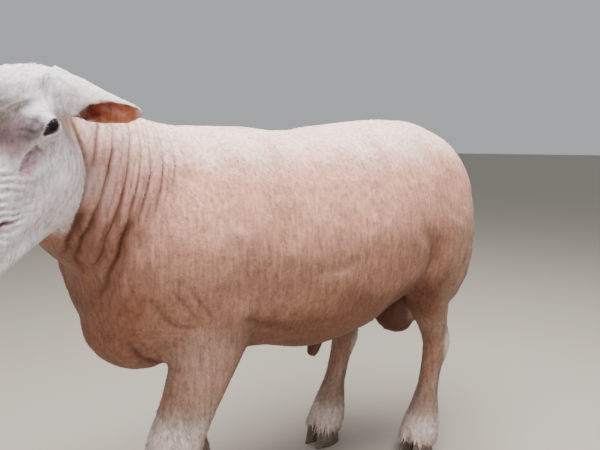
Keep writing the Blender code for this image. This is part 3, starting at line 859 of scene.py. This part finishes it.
def painted(points, area):
    b, h = inBody(points), inHead(points)
    s, (x, y, z) = sided(h), b.T
    colour = np.tile(np.array(tints["side"]), (len(b), 1))

    def lay(name, share, within=1):
        share = np.clip(share * within, 0, 1)[:, None]
        colour[:] = colour + share * (np.array(tints[name]) - colour)

    def flatSpot(middle, radii):
        return spot(b[:, [0, 2]], middle, radii)

    mottle = 0.5 + 0.5 * waver(b, 90, 60)
    spread = 26 * (mottle - 0.5) + 6 * waver(b, 35, 66)
    streaks = 0.5 + 0.5 * waver(b * np.array((1, 1, 0.20)), 17, 63)
    fine = rise(waver(b * np.array((1, 1, 0.15)), 10, 67), 0, 0.9)
    ahead, high = -x + spread, z + spread
    low = z - spread
    # painted light and shade, partly the fleece's own tone: paler on the back where the light falls
    # from above, darker on the neck below the head, low on the body, under the belly and over the
    # chest
    lay("back", 0.95 * rise(high, 670, 745))
    lay("neck", 0.85 * rise(ahead, 55, 150) * rise(z, 755, 705))
    lay("low", 0.95 * rise(low, 605, 515))
    lay("belly", 0.95 * rise(low, 475, 415))
    lay("low", 0.90 * rise(ahead, 70, 140) * rise(z, 675, 590))
    lay("chest", 0.42 * rise(ahead, 70, 150) * rise(z, 640, 560))
    lay("chest", 0.85 * rise(ahead, 85, 140) * rise(z, 540, 490))
    lay("foreleg", 0.80 * hill(x, -28, 58) * rise(z, 475, 400))
    # darker grain behind the shoulder and along the low flank
    lay("low", 0.34 * fine * rise(x, 30, 80) * rise(x, 220, 140) * rise(z, 710, 640))
    lay("belly", 0.22 * fine * rise(z, 600, 500) * rise(x, 20, 100))
    lay("side", 0.55 * shearShare(b))
    lay("back", 0.13 * shearShare(b))
    # the dirty rear of the thigh and the shade in the flank's fold
    lay("thigh", 0.85 * rise(x + 20 * mottle, 585, 660) * rise(z, 620, 530))
    lay("dirt", 0.70 * streaks * rise(x, 545, 600) * rise(z, 540, 470))
    flank = flatSpot((535, 500), (40, 70)) * rise(np.abs(y), 60, 100)
    lay("brown", flank * (0.45 + 0.5 * streaks))
    lay("fold", 0.75 * flatSpot((555, 385), (34, 50)))
    # painted shade on the lower neck and along every fold and crease; darker at the sheath's tip
    lay("fold", 0.26 * flatSpot((-190, 585), (38, 48)))
    lay("fold", 0.45 * spot(b, (325, -8, 272), (45, 50, 40)))
    lay("fold", area["crease"])
    lay("brown", area["fold"] ** 1.1 * (0.35 + 0.45 * rise(z, 730, 610)))
    lay("fold", 0.95 * area["foldLine"])
    # the legs
    lay("leg", area["leg"] * 0.92)
    lay("legShade", area["leg"] * 0.60 * streaks * rise(z, 100, 160))
    hind = area["leg"] * rise(x, 400, 450)
    lay("brown", hind * 0.70 * area["legFront"] * rise(z, 120, 200))
    lay("cream", area["wool"] * 0.92)
    lay("cream", area["hock"] * 0.95)
    lay("dirt", 0.4 * rise(z, 52, 36) * (1 - area["head"]))
    lay("dark", area["bag"] * 0.97)
    lay("cream", 0.60 * spot(s, (-46, 72, -28), (14, 30, 40)))
    # the head: stained between the brows, bare and grey before the eyes
    face, u, v = area["head"], -h[:, 0], h[:, 2]
    lay("white", face)
    between = rise(u, 36, 84) * rise(u, 160, 132) * rise(v, 55, 78) * rise(s[:, 1], 66, 46)
    lay("stain", 0.22 * rise(waver(h, 22, 62), 0.1, 0.9), face)
    lay("tan", between * (0.96 + 0.08 * waver(h, 14, 61)), face)
    lay("stain", 0.40 * rise(u, 150, 180) * rise(v, 30, 55), face)
    # painted light: the lower face is painted paler to make up for the shade beneath the head
    lay("pale", 0.85 * rise(v, 45, 5), face)
    speckle = 0.94 + 0.12 * waver(h, 8, 68)
    for middle, radii, share in (
        ((-116, 64, 82.8), (24, 21, 15.2), 0.95), ((-126, 47, 84), (21, 22, 17), 0.90)
    ):
        lay("bare", share * rise(spot(s, middle, radii), 0.10, 0.72) * speckle, face)
    lay("rosy", 0.85 * spot(s, (-139, 50, 67), (14, 14, 10)), face)
    # painted light: the lower front of the muzzle is painted paler against its shade
    lay("pale", 0.55 * rise(u, 150, 180) * rise(v, 50, 20), face)
    # painted shade: grey in the valleys of the wrinkles beside the nose and at the jaw's corner
    lay("groove", 0.60 * rise(muzzleWrinkles(h), 0.1, 0.9), face)
    lay("groove", 0.45 * rise(cheekLines(h), 0.1, 0.9), face)
    lay("pit", area["pit"] * (0.80 + 0.25 * waver(h, 9, 69)))
    lay("lip", area["lips"] * 0.85)
    # painted shade: near-black along the creases by the pit and at the brow
    for name, width, share in (
        ("pitCrease", 2.1, 0.92), ("pitRear", 1.6, 0.65), ("browCrease", 3, 0.30)
    ):
        lay("lid", share * hill(besideChain(s, name), 0, width), face)
    # inside the ears: the orange stands partly for painted light shining through the ear, and the
    # hollow is painted darker towards its root as painted shade
    t, hollow = alongEar(h), area["hollow"]
    ridges = waver(h * np.array((1, 0.30, 1)), 11, 65)
    lay("earInside", hollow)
    lay("earPale", hollow * 0.55 * rise(ridges, 0.25, 1))
    lay("earDeep", hollow * 0.60 * rise(ridges, -0.35, -1))
    lay("earDeep", hollow * rise(t, 0.50, 0.18) * 0.92)
    lay("earPale", area["ear"] * 0.75 * hill(hollow, 0.5, 0.32) * rise(t, 0.25, 0.45))
    lay("white", hollow * rise(t, 0.88, 1.02) * 0.7)
    lay("side", (area["ear"] - hollow) * 0.16)
    # near-black: painted shade in the mouth's line and the nostrils; on the lids partly their own
    # dark skin, partly painted shade
    for name, share in (("mouth", 0.9), ("nostril", 0.92), ("lids", 0.96)):
        lay("lid", area[name] * share)
    return colour


# Node trees, with arithmetic on their sockets


class Wire:
    # an output socket that takes part in sums
    def __init__(self, graph, socket):
        self.graph, self.socket = graph, socket

    def power(self, exponent):
        return self.graph.sum("POWER", self, exponent)

    def part(self, axis):
        return self.graph.add("ShaderNodeSeparateXYZ", None, {"Vector": self}, axis)

    def step(self, low, high):
        values = {"Value": self, "From Min": low, "From Max": high}
        return self.graph.add("ShaderNodeMapRange", {"interpolation_type": "SMOOTHSTEP"}, values)


signs = {"add": "ADD", "sub": "SUBTRACT", "mul": "MULTIPLY", "truediv": "DIVIDE"}
for sign, operation in signs.items():
    setattr(Wire, f"__{sign}__", lambda a, b, name=operation: a.graph.sum(name, a, b))
    setattr(Wire, f"__r{sign}__", lambda a, b, name=operation: a.graph.sum(name, b, a))


class Graph:
    def __init__(self, tree):
        self.tree = tree

    def add(self, kind, settings=None, values=None, output=0):
        node = self.tree.nodes.new(kind)
        for name, value in (settings or {}).items():
            setattr(node, name, value)
        for key, value in (values or {}).items():
            if isinstance(value, Wire):
                self.tree.links.new(value.socket, node.inputs[key])
            else:
                node.inputs[key].default_value = value
        return Wire(self, node.outputs[output])

    def sum(self, operation, *terms):
        wide = [
            term.socket.type in ("VECTOR", "RGBA") if isinstance(term, Wire)
            else not isinstance(term, (int, float)) for term in terms
        ]
        kind, settings, values = "VectorMath", {"operation": operation}, dict(enumerate(terms))
        if not any(wide):
            kind = "Math"
        elif operation == "MULTIPLY" and not all(wide):
            vector, scale = terms if wide[0] else terms[::-1]
            settings, values = {"operation": "SCALE"}, {0: vector, "Scale": scale}
        return self.add("ShaderNode" + kind, settings, values)

    def mix(self, share, first, second):
        first, second = (
            (*c, 1) if not isinstance(c, Wire) and len(c) == 3 else c for c in (first, second)
        )
        return self.add("ShaderNodeMix", {"data_type": "RGBA"}, {0: share, 6: first, 7: second}, 2)

    def noise(self, at, scale, detail=2.0, roughness=0.5):
        values = {"Vector": at, "Scale": scale, "Detail": detail, "Roughness": roughness}
        return self.add("ShaderNodeTexNoise", None, values)

    def place(self):
        return self.add("ShaderNodeTexCoord", None, None, "Object")

    def layer(self, name, output):
        return self.add("ShaderNodeAttribute", {"attribute_name": name}, None, output)

    def bump(self, strength, distance, height):
        values = {"Strength": strength, "Distance": distance, "Height": height}
        return self.add("ShaderNodeBump", None, values)


def material(name, settings, build):
    made = bpy.data.materials.new(name)
    made.use_nodes = True
    shader = made.node_tree.nodes["Principled BSDF"]
    for key, value in settings.items():
        shader.inputs[key].default_value = value
    for key, wire in build(Graph(made.node_tree)).items():
        made.node_tree.links.new(wire.socket, shader.inputs[key])
    return made


skinLook = {
    "roughness": 0.62,
    "bareRoughness": 0.42,
    "mottle": 0.16,
    "patches": 0.82,
    "streaks": 1.0,
    "grain": 0.12,
    "bump": 0.55,
}
woolLook = {"roughness": 0.85, "sheen": 0.12, "paleAndLitTint": (0.86, 0.72, 0.67), "paleAndLitShare": 0.10}
hornLook = {"dark": (0.060, 0.045, 0.036), "pale": (0.20, 0.155, 0.115), "roughness": 0.42}


def unevenness(graph, at):
    # the noises that the skin and its coat share, each about 0
    mottle = graph.noise(at, 38.0, 3.0, 0.6) - 0.5
    streak = graph.noise(at * (1.0, 1.0, 0.14), 170.0, 2.0, 0.55) - 0.5
    patches = graph.noise(at, 120.0, 2.0, 0.6) - 0.5
    return mottle, streak, patches


def skinGraph(graph):
    at, paint, bare = graph.place(), graph.layer("paint", "Color"), graph.layer("bare", "Fac")
    mottle, streak, patches = unevenness(graph, at)
    fine = graph.noise(at, 420.0, 2.0, 0.6) - 0.5
    grain = graph.noise(at * (1.0, 1.0, 0.22), 300.0, 2.0, 0.55) - 0.5
    body = 1.0 - bare
    light = 1.0 + skinLook["mottle"] * 2.0 * mottle + 0.35 * fine
    light = light + body * grain * skinLook["grain"] * 2
    light = light + body * streak * skinLook["streaks"] + patches * skinLook["patches"]
    wrinkle = graph.add(
        "ShaderNodeTexVoronoi", {"feature": "DISTANCE_TO_EDGE"}, {"Vector": at, "Scale": 520.0}
    )
    height = 0.5 * fine + 0.5 * grain * body + 0.6 * mottle + 0.25 * wrinkle.step(0.0, 0.25)
    rough = skinLook["roughness"] + bare * (skinLook["bareRoughness"] - skinLook["roughness"])
    bump = graph.bump(skinLook["bump"], 0.0012, height)
    return {"Base Color": paint * light, "Roughness": rough + 0.2 * fine, "Normal": bump}


def woolGraph(graph):
    at, paint, shade = graph.place(), graph.layer("paint", "Color"), graph.layer("shade", "Fac")
    mottle, streak, patches = unevenness(graph, at)
    light = 0.75 + 0.50 * shade + skinLook["mottle"] * 2.0 * mottle
    light = light + streak * skinLook["streaks"] + patches * skinLook["patches"]
    # the coat is painted paler than the skin below it: partly its paler hair, partly painted light
    # against the shade between the tufts
    pale = graph.mix(woolLook["paleAndLitShare"], paint, woolLook["paleAndLitTint"])
    pale = graph.mix(paint.part(0).step(0.15, 0.45), paint, pale)
    return {"Base Color": pale * light}


def hornGraph(graph):
    at = graph.place()
    bands = graph.noise(at * (0.25, 0.25, 1.0), 330.0, 2.0, 0.6)
    streaks = graph.noise(at * (1.0, 1.0, 0.08), 260.0, 2.0, 0.6)
    worn = graph.noise(at, 60.0, 2.0, 0.6)
    share = bands * 0.35 + streaks * 0.20 + worn * 0.55
    colour = graph.mix(share.step(0.30, 0.80), hornLook["dark"], hornLook["pale"])
    bump = graph.bump(0.5, 0.0006, bands + streaks * 0.6)
    return {"Base Color": colour, "Roughness": hornLook["roughness"] + worn * 0.3, "Normal": bump}


eyeLook = {
    "pupil": (0.50, 0.15),  # half length and half height, as shares of the eye's radius
    "pupilColour": (0.004, 0.004, 0.005),
    "iris": 0.80,
    "irisColours": ((0.008, 0.004, 0.003), (0.034, 0.014, 0.008)),
    "irisRim": (0.018, 0.010, 0.008),
    "white": (0.050, 0.028, 0.024),
}


def eyeGraph(graph):
    at = graph.layer("look", "Vector")
    along, upward = at.part(0), at.part(1)
    across = graph.sum("SQRT", along * along + upward * upward)
    turn = graph.sum("ARCTAN2", upward, along)
    fibres = graph.sum("SINE", turn * 46.0 + 5.0 * graph.noise(at, 6.0)) * 0.5 + 0.5
    streak = fibres * 0.35 + graph.noise(at, 3.2, 2.0) * 0.9
    iris = graph.mix(streak.step(0.35, 1.0), *eyeLook["irisColours"])
    rim = across.step(eyeLook["iris"] - 0.10, eyeLook["iris"])
    iris = graph.mix(rim, iris, eyeLook["irisRim"])
    white = across.step(eyeLook["iris"], eyeLook["iris"] + 0.05)
    colour = graph.mix(white, iris, eyeLook["white"])
    long, high = eyeLook["pupil"]
    wide, tall = (along / long).power(2.0), (upward / high).power(2.0)
    slit = wide * wide + tall * tall
    return {"Base Color": graph.mix(1.0 - slit.step(0.80, 1.15), colour, eyeLook["pupilColour"])}


# The coat: solid tufts scattered over the skin


def bladeObject(name, sides, rings, tip):
    # rings are (height, across, ahead), all as shares; the tip closes it, and so does its base
    bm = bmesh.new()
    turns = [2 * math.pi * k / sides for k in range(sides)]
    loops = loft(bm, [
        [(math.cos(t) * across / 2, math.sin(t) * across / 2 * 0.7 + ahead, height) for t in turns]
        for height, across, ahead in rings
    ])
    end = bm.verts.new((0, tip[1], tip[0]))
    for k in range(sides):
        bm.faces.new((loops[-1][k], loops[-1][(k + 1) % sides], end))
    bm.faces.new(loops[0][::-1])
    bmesh.ops.triangulate(bm, faces=bm.faces)
    mesh = meshFrom(name, bm)
    points = pointsOf(mesh)
    flat = points / np.maximum(np.abs(points).max(0), 1e-6)
    flat = np.column_stack([flat[:, 0], flat[:, 2] - 0.5 + 0.3 * flat[:, 1], 0 * flat[:, 0]])
    keepLayer(mesh, "bladeSpot", "FLOAT_VECTOR", 0.5 * flat)
    return newObject(name, mesh)


def tuftTree():
    tree = bpy.data.node_groups.new("tufts", "GeometryNodeTree")
    face = tree.interface
    face.new_socket("Geometry", in_out="OUTPUT", socket_type="NodeSocketGeometry")
    kinds = {
        "Skin": "Geometry", "Blade": "Object", "Cover": "String", "Density": "Float",
        "Length": "Float", "Width": "Float", "Lean": "Float", "Ruffle": "Float", "Sink": "Float",
        "Seed": "Int", "Finish": "Material",
    }
    for name, kind in kinds.items():
        face.new_socket(name, in_out="INPUT", socket_type=f"NodeSocket{kind}")
    graph = Graph(tree)
    given = {name: graph.add("NodeGroupInput", None, None, name) for name in kinds}

    def named(name, kind="FLOAT_VECTOR"):
        return graph.add("GeometryNodeInputNamedAttribute", {"data_type": kind}, {"Name": name})

    def random(low, high, seed, kind="FLOAT"):
        first, output = {"FLOAT": (2, 1), "FLOAT_VECTOR": (0, 0)}[kind]
        values = {first: low, first + 1: high, "Seed": given["Seed"] + seed}
        return graph.add("FunctionNodeRandomValue", {"data_type": kind}, values, output)

    def change(kind, values, settings=None):
        return graph.add("GeometryNode" + kind, settings, values)

    def store(geometry, name, value, kind, domain="POINT"):
        values = {"Geometry": geometry, "Name": name, "Value": value}
        return change("StoreNamedAttribute", values, {"data_type": kind, "domain": domain})

    density, seed = named(given["Cover"], "FLOAT") * given["Density"], given["Seed"]
    values = {"Mesh": given["Skin"], "Density": density, "Seed": seed}
    scattered = change("DistributePointsOnFaces", values)
    normal = Wire(graph, scattered.socket.node.outputs["Normal"])
    kept = store(scattered, "outward", normal, "FLOAT_VECTOR")
    kept = store(kept, "shade", random(0.0, 1.0, 5), "FLOAT")
    outward, lie = named("outward"), named("lie")
    stray = random((-1, -1, -1), (1, 1, 1), 1, "FLOAT_VECTOR")
    way = outward * (1.0 - given["Lean"]) + lie * given["Lean"] + stray * given["Ruffle"]
    turn = graph.add(
        "FunctionNodeAxesToRotation", {"primary_axis": "Z", "secondary_axis": "Y"},
        {"Primary Axis": graph.sum("NORMALIZE", way), "Secondary Axis": outward},
    )
    length = given["Length"] * random(0.6, 1.25, 2) * named("hairSize", "FLOAT")
    width = given["Width"] * random(0.75, 1.3, 3)
    scale = graph.add("ShaderNodeCombineXYZ", None, {0: width, 1: width, 2: length})
    sunk = change("SetPosition", {"Geometry": kept, "Offset": outward * (0.0 - given["Sink"])})
    blade = graph.add("GeometryNodeObjectInfo", None, {"Object": given["Blade"]}, "Geometry")
    tufts = change(
        "InstanceOnPoints", {"Points": sunk, "Instance": blade, "Rotation": turn, "Scale": scale}
    )
    real = change("RealizeInstances", {"Geometry": tufts})
    real = store(real, "OFBake", named("skinMap") + named("bladeSpot") * 0.003, "FLOAT2", "CORNER")
    # the coat takes its light as the skin below it does, so it looks soft
    settings = {"mode": "FREE", "domain": "POINT"}
    real = change("SetMeshNormal", {"Mesh": real, "Custom Normal": outward}, settings)
    real = change("SetMaterial", {"Geometry": real, "Material": given["Finish"]})
    tree.links.new(real.socket, tree.nodes.new("NodeGroupOutput").inputs[0])
    return tree


def grown(name, skin, tree, values):
    # one piece of coat, as a mesh of its own
    obj = newObject(name, skin.data)
    grow = obj.modifiers.new("grow", "NODES")
    grow.node_group = tree
    for item in tree.interface.items_tree:
        if item.in_out == "INPUT" and item.name in values:
            grow[item.identifier] = values[item.name]
    mesh = evaluated(obj)
    mesh.name = name
    wanted = ("position", "paint", "shade", "OFBake", "material_index", "custom_normal")
    for attribute in [a.name for a in mesh.attributes]:
        if attribute not in wanted and not attribute.startswith("."):
            mesh.attributes.remove(mesh.attributes[attribute])
    mesh.uv_layers.active = mesh.uv_layers["OFBake"]
    mesh.uv_layers["OFBake"].active_render = True
    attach(obj, "root")
    print(name, len(mesh.polygons), "triangles")
    return obj


def lieOf(points, normals, area):
    # the way the coat lies, along the skin
    b, h = inBody(points), inHead(points)
    x, z = b[:, 0], b[:, 2]
    way = np.tile((0.80, 0.0, -0.60), (len(b), 1))
    way[:, 2] -= 0.8 * rise(z, 550, 450)
    way[:, 2] -= 1.2 * rise(x, -50, -150) * rise(z, 660, 560)
    aside = np.column_stack([0 * x, np.sign(h[:, 1]) * 0.85, 0 * x - 0.53]) @ headAxes.T
    down, back = np.array((0.15, 0, -1.0)), headAxes @ np.array((1.0, 0, -0.25))
    for name, wanted in (("leg", down), ("head", back), ("ear", aside)):
        share = area[name][:, None]
        way = way * (1 - share) + wanted * share
    way = way - normals * (way * normals).sum(1)[:, None]
    way += 0.25 * np.column_stack([waver(b, 120, seed) for seed in (70, 71, 72)])
    return way / np.maximum(np.linalg.norm(way, axis=1), 1e-6)[:, None]


# Each piece of coat: where it grows, by x along the body or by a layer of the skin, its blade, how
# many tufts to a square metre, then their length, width, lean and ruffle
coats = {
    "neckFleece": ((-1000, -30), "nub", 160000, 4.6, 1.6, 0.84, 0.20),
    "shoulderFleece": ((-30, 130), "nub", 130000, 4.6, 1.7, 0.86, 0.18),
    "ribFleece": ((130, 300), "nub", 130000, 4.6, 1.7, 0.86, 0.18),
    "loinFleece": ((300, 480), "nub", 130000, 4.6, 1.7, 0.86, 0.18),
    "rumpFleece": ((480, 2000), "nub", 116000, 5.0, 1.7, 0.86, 0.18),
    "faceHair": ("faceCover", "nub", 368000, 4.0, 0.9, 0.80, 0.16),
    "legHair": ("legCover", "nub", 230000, 6.8, 1.2, 0.78, 0.20),
    "woolLocks": ("lockCover", "lock", 62000, 8.5, 1.5, 0.82, 0.22),
    "lashes": ("lashCover", "lash", 900000, 5.5, 0.40, 0.30, 0.22),
}


def coverSkin(obj):
    # everything the coat and the finishes need to know, at every point of the skin
    mesh = obj.data
    points, normals = pointsOf(mesh), normalsOf(mesh)
    area = regions(points, normals)
    x, z = inBody(points)[:, (0, 2)].T
    grownUp = (1 - area["bare"]) * (1 - area["bag"]) * (1 - 0.75 * area["hollow"])
    poll = 0.66 * rise(area["poll"], 0, 0.15)
    foot = 2.1 * area["wool"] * rise(z, 70, 44)
    locks = np.clip(area["wool"] + area["poll"] + 0.6 * area["hock"], 0, 1)
    locks = locks * (1 - rise(area["ear"], 0.05, 0.4)) * (1 - 0.55 * area["poll"])
    body = grownUp * (1 - area["head"]) * (1 - area["leg"]) * (1 - area["fold"] * 0.60)
    values = {
        "bare": np.maximum(area["bare"], area["bag"] * 0.6),
        "hairSize": 1 - 0.45 * area["lips"] - 0.40 * area["fold"] - poll + foot,
        "faceCover": grownUp * area["head"],
        "legCover": grownUp * area["leg"] * (1 - 0.7 * area["wool"]) * rise(z, 34, 40),
        "lockCover": grownUp * locks * rise(z, 40, 46),
        "lashCover": area["lashes"] * (area["lashes"] > 0.35),
    }
    for name, (where, *_) in coats.items():
        if name.endswith("Fleece"):
            values[name + "Cover"] = body * ((x >= where[0]) & (x < where[1]))
    for name, value in values.items():
        keepLayer(mesh, name, "FLOAT", value)
    keepLayer(mesh, "lie", "FLOAT_VECTOR", lieOf(points, normals, area))
    full = np.column_stack([painted(points, area), np.ones(len(points))])
    keepLayer(mesh, "paint", "FLOAT_COLOR", full)


def unwrapped(obj):
    obj.data.uv_layers.new(name="skinMap")
    bpy.context.view_layer.objects.active = obj
    obj.select_set(True)
    bpy.ops.object.mode_set(mode="EDIT")
    bpy.ops.mesh.select_all(action="SELECT")
    bpy.ops.uv.smart_project(angle_limit=math.radians(66), island_margin=0.002)
    bpy.ops.object.mode_set(mode="OBJECT")
    obj.select_set(False)


skin = blockedOut()
sculpted(skin)
thinned(skin)
coverSkin(skin)
unwrapped(skin)
skinFinish = material("shorn skin", {"Specular IOR Level": 0.35}, skinGraph)
skin.data.materials.clear()
skin.data.materials.append(skinFinish)
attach(skin, "root")
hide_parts(*fleshNodes, "ear_left", "ear_right")
print("skin finished")

settings = {"Roughness": woolLook["roughness"], "Sheen Weight": woolLook["sheen"]}
woolFinish = material("short wool", {**settings, "Specular IOR Level": 0.2}, woolGraph)
lockRings = ((0.0, 1.0, 0.0), (0.30, 1.25, 0.30), (0.55, 0.95, -0.15), (0.80, 0.60, 0.35))
lashRings = ((0.0, 1.0, 0.0), (0.4, 0.8, 0.9), (0.75, 0.5, 3.0))
blades = {
    "nub": bladeObject("nub", 3, ((0.0, 1.0, 0.0),), (1.0, 0.0)),
    "lock": bladeObject("lock", 4, lockRings, (1.0, 0.0)),
    "lash": bladeObject("lash", 3, lashRings, (1.0, 5.0)),
}
tufts = tuftTree()
for seed, (name, coat) in enumerate(coats.items()):
    where, blade, density, length, width, lean, ruffle = coat
    fleece = name.endswith("Fleece")
    values = {
        "Blade": blades[blade], "Cover": name + "Cover" if fleece else where, "Sink": 0.0004,
        "Density": float(density), "Length": length / 1000, "Width": width / 1000, "Lean": lean,
        "Ruffle": ruffle, "Seed": 10 + seed, "Finish": woolFinish,
    }
    piece = grown(name, skin, tufts, values)
for blade in blades.values():
    bpy.data.objects.remove(blade)


# Eyes

eyeFinish = material(
    "eye",
    {"Roughness": 0.10, "Specular IOR Level": 0.12, "Coat Weight": 0.30, "Coat Roughness": 0.02},
    eyeGraph,
)
for name, sign in (("left", -1), ("right", 1)):
    bm = bmesh.new()
    bmesh.ops.create_uvsphere(bm, u_segments=64, v_segments=40, radius=lids["radius"] / 1000)
    mesh = meshFrom("eye", bm)
    centre, gaze, along, upward = lidAxes(sign)
    local = pointsOf(mesh) * 1000
    turned = np.column_stack([along, upward, gaze])
    look = local / lids["radius"]
    bulge = 1 + 0.03 * rise(look[:, 2], 0.72, 0.95)
    place(mesh, fromHead((local * bulge[:, None]) @ turned.T + centre))
    keepLayer(mesh, "look", "FLOAT_VECTOR", look)
    if np.linalg.det(turned) < 0:
        mesh.flip_normals()
    mesh.materials.append(eyeFinish)
    eye = newObject(f"{name}Eye", mesh)
    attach(eye, "root")
    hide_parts(f"eye_{name}")
print("eyes made")


# Hooves and dewclaws

claw = {"length": 76, "around": 44, "levels": 20, "ringDepth": 0.28, "half": 15.2, "height": 36}
hornFinish = material("hoof horn", {"Specular IOR Level": 0.4}, hornGraph)


def clawMesh(toe, middleY, inner, seed):
    # one of a hoof's two claws: pointed at the toe, flat below and ringed as it grew
    around, levels, length = claw["around"], claw["levels"], claw["length"]
    rough = np.random.default_rng(seed).uniform(-1, 1, levels)
    bm = bmesh.new()
    rings = []
    for i in range(levels):
        share = i / (levels - 1)
        front, rear = length * (0.58 - 0.14 * share), length * (0.42 - 0.01 * share)
        half = claw["half"] + 0.6 * math.sin(math.pi * share)
        worn = claw["ringDepth"] * (rough[i] + math.sin(share * 34)) - 0.7 * (share < 0.001) - 0.4
        ring = []
        for k in range(around):
            turn = 2 * math.pi * k / around
            ahead = math.cos(turn) * ((front if math.cos(turn) > 0 else rear) + worn)
            point = max(math.cos(turn), 0) ** 1.5
            aside = math.sin(turn) * (half + worn) * (1 - 0.45 * point)
            aside = aside * (0.86 if aside * inner > 0 else 1.0) - inner * 4 * (1 - point)
            aside -= inner * (14.5 + 3 * max(ahead, 0) / front)
            height = (claw["height"] + 0.30 * ahead) * share
            x, y, z = metres((0.58 * length - ahead, aside, height))
            ring.append((toe + x, middleY + y, z))
        rings.append(ring)
    rings = loft(bm, rings)
    bm.faces.new(rings[0][::-1])
    bm.faces.new(rings[-1])
    mesh = meshFrom("claw", bm)
    mesh.materials.append(hornFinish)
    return mesh


seed = 0
for kind, side in legKeys:
    boxes = {end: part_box(f"hoof_{kind}_{side}_{end}") for end in ("outer", "inner")}
    middleY = sum(low.y + high.y for low, high in boxes.values()) / 4
    for end, (low, high) in boxes.items():
        inner = 1 if middleY > (low.y + high.y) / 2 else -1
        seed += 1
        mesh = clawMesh(low.x, middleY, inner, seed)
        hoof = newObject(f"{kind}{side.title()}{end.title()}Claw", mesh)
        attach(hoof, "root")
        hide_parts(f"hoof_{kind}_{side}_{end}")

dewclaw = {"height": 84, "length": 27, "width": 7.5, "apart": 13, "lean": -38}  # lean in degrees
lean = Matrix.Rotation(math.radians(dewclaw["lean"]), 4, "Y")
stretch = Matrix.Diagonal((*metres((dewclaw["width"], dewclaw["width"], dewclaw["length"] / 2)), 1))
bm = bmesh.new()
for key in legs:
    x, y, reachX, reachY = legSection(key, dewclaw["height"])
    for sign in (-1, 1):
        at = metres((x + 0.86 * reachX, y + sign * dewclaw["apart"], dewclaw["height"]))
        shape = Matrix.Translation(bodyAt + Vector(at)) @ lean @ stretch
        bmesh.ops.create_uvsphere(bm, u_segments=20, v_segments=14, radius=1, matrix=shape)
mesh = meshFrom("dewclaws", bm)
mesh.materials.append(hornFinish)
dewclaws = newObject("dewclaws", mesh)
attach(dewclaws, "root")
print("hooves made")


# Floor, light and camera, with lengths in metres

studio = {
    "sky": (0.86, 0.89, 0.92),
    "skyStrength": 0.51,
    "overhead": {"at": (0.1, -0.3, 2.6), "size": (2.4, 1.8), "power": 164},
    "side": {"at": (-2.2, -2.0, 1.6), "size": (1.6, 1.2), "power": 38},
    "aim": (0, 0, 0.5),
    "floor": (0.42, 0.37, 0.31),
    "lens": 36,
    "eyeAt": (-0.535, -0.897, 0.730),
    "turn": (82.3, 0, -42.6),  # degrees
}
world = bpy.data.worlds.new("studio")
bpy.context.scene.world = world
world.use_nodes = True
background = world.node_tree.nodes["Background"]
background.inputs["Color"].default_value = (*studio["sky"], 1)
background.inputs["Strength"].default_value = studio["skyStrength"]
for name in ("overhead", "side"):
    made = studio[name]
    light = bpy.data.lights.new(name, "AREA")
    light.shape = "RECTANGLE"
    light.size, light.size_y = made["size"]
    light.energy = made["power"]
    lamp = newObject(name, light)
    lamp.location = made["at"]
    way = Vector(studio["aim"]) - lamp.location
    lamp.rotation_euler = way.to_track_quat("-Z", "Y").to_euler()

floorFinish = material(
    "pale floor", {"Base Color": (*studio["floor"], 1), "Roughness": 0.9}, lambda graph: {}
)
bm = bmesh.new()
bmesh.ops.create_grid(bm, x_segments=1, y_segments=1, size=40)
floor = newObject("floor", meshFrom("floor", bm))
floor.data.materials.append(floorFinish)

lens = bpy.data.cameras.new("camera")
lens.lens, lens.sensor_width = studio["lens"], 36
camera = newObject("camera", lens)
camera.location = bodyAt + Vector(studio["eyeAt"])
camera.rotation_euler = [math.radians(angle) for angle in studio["turn"]]
bpy.context.scene.camera = camera
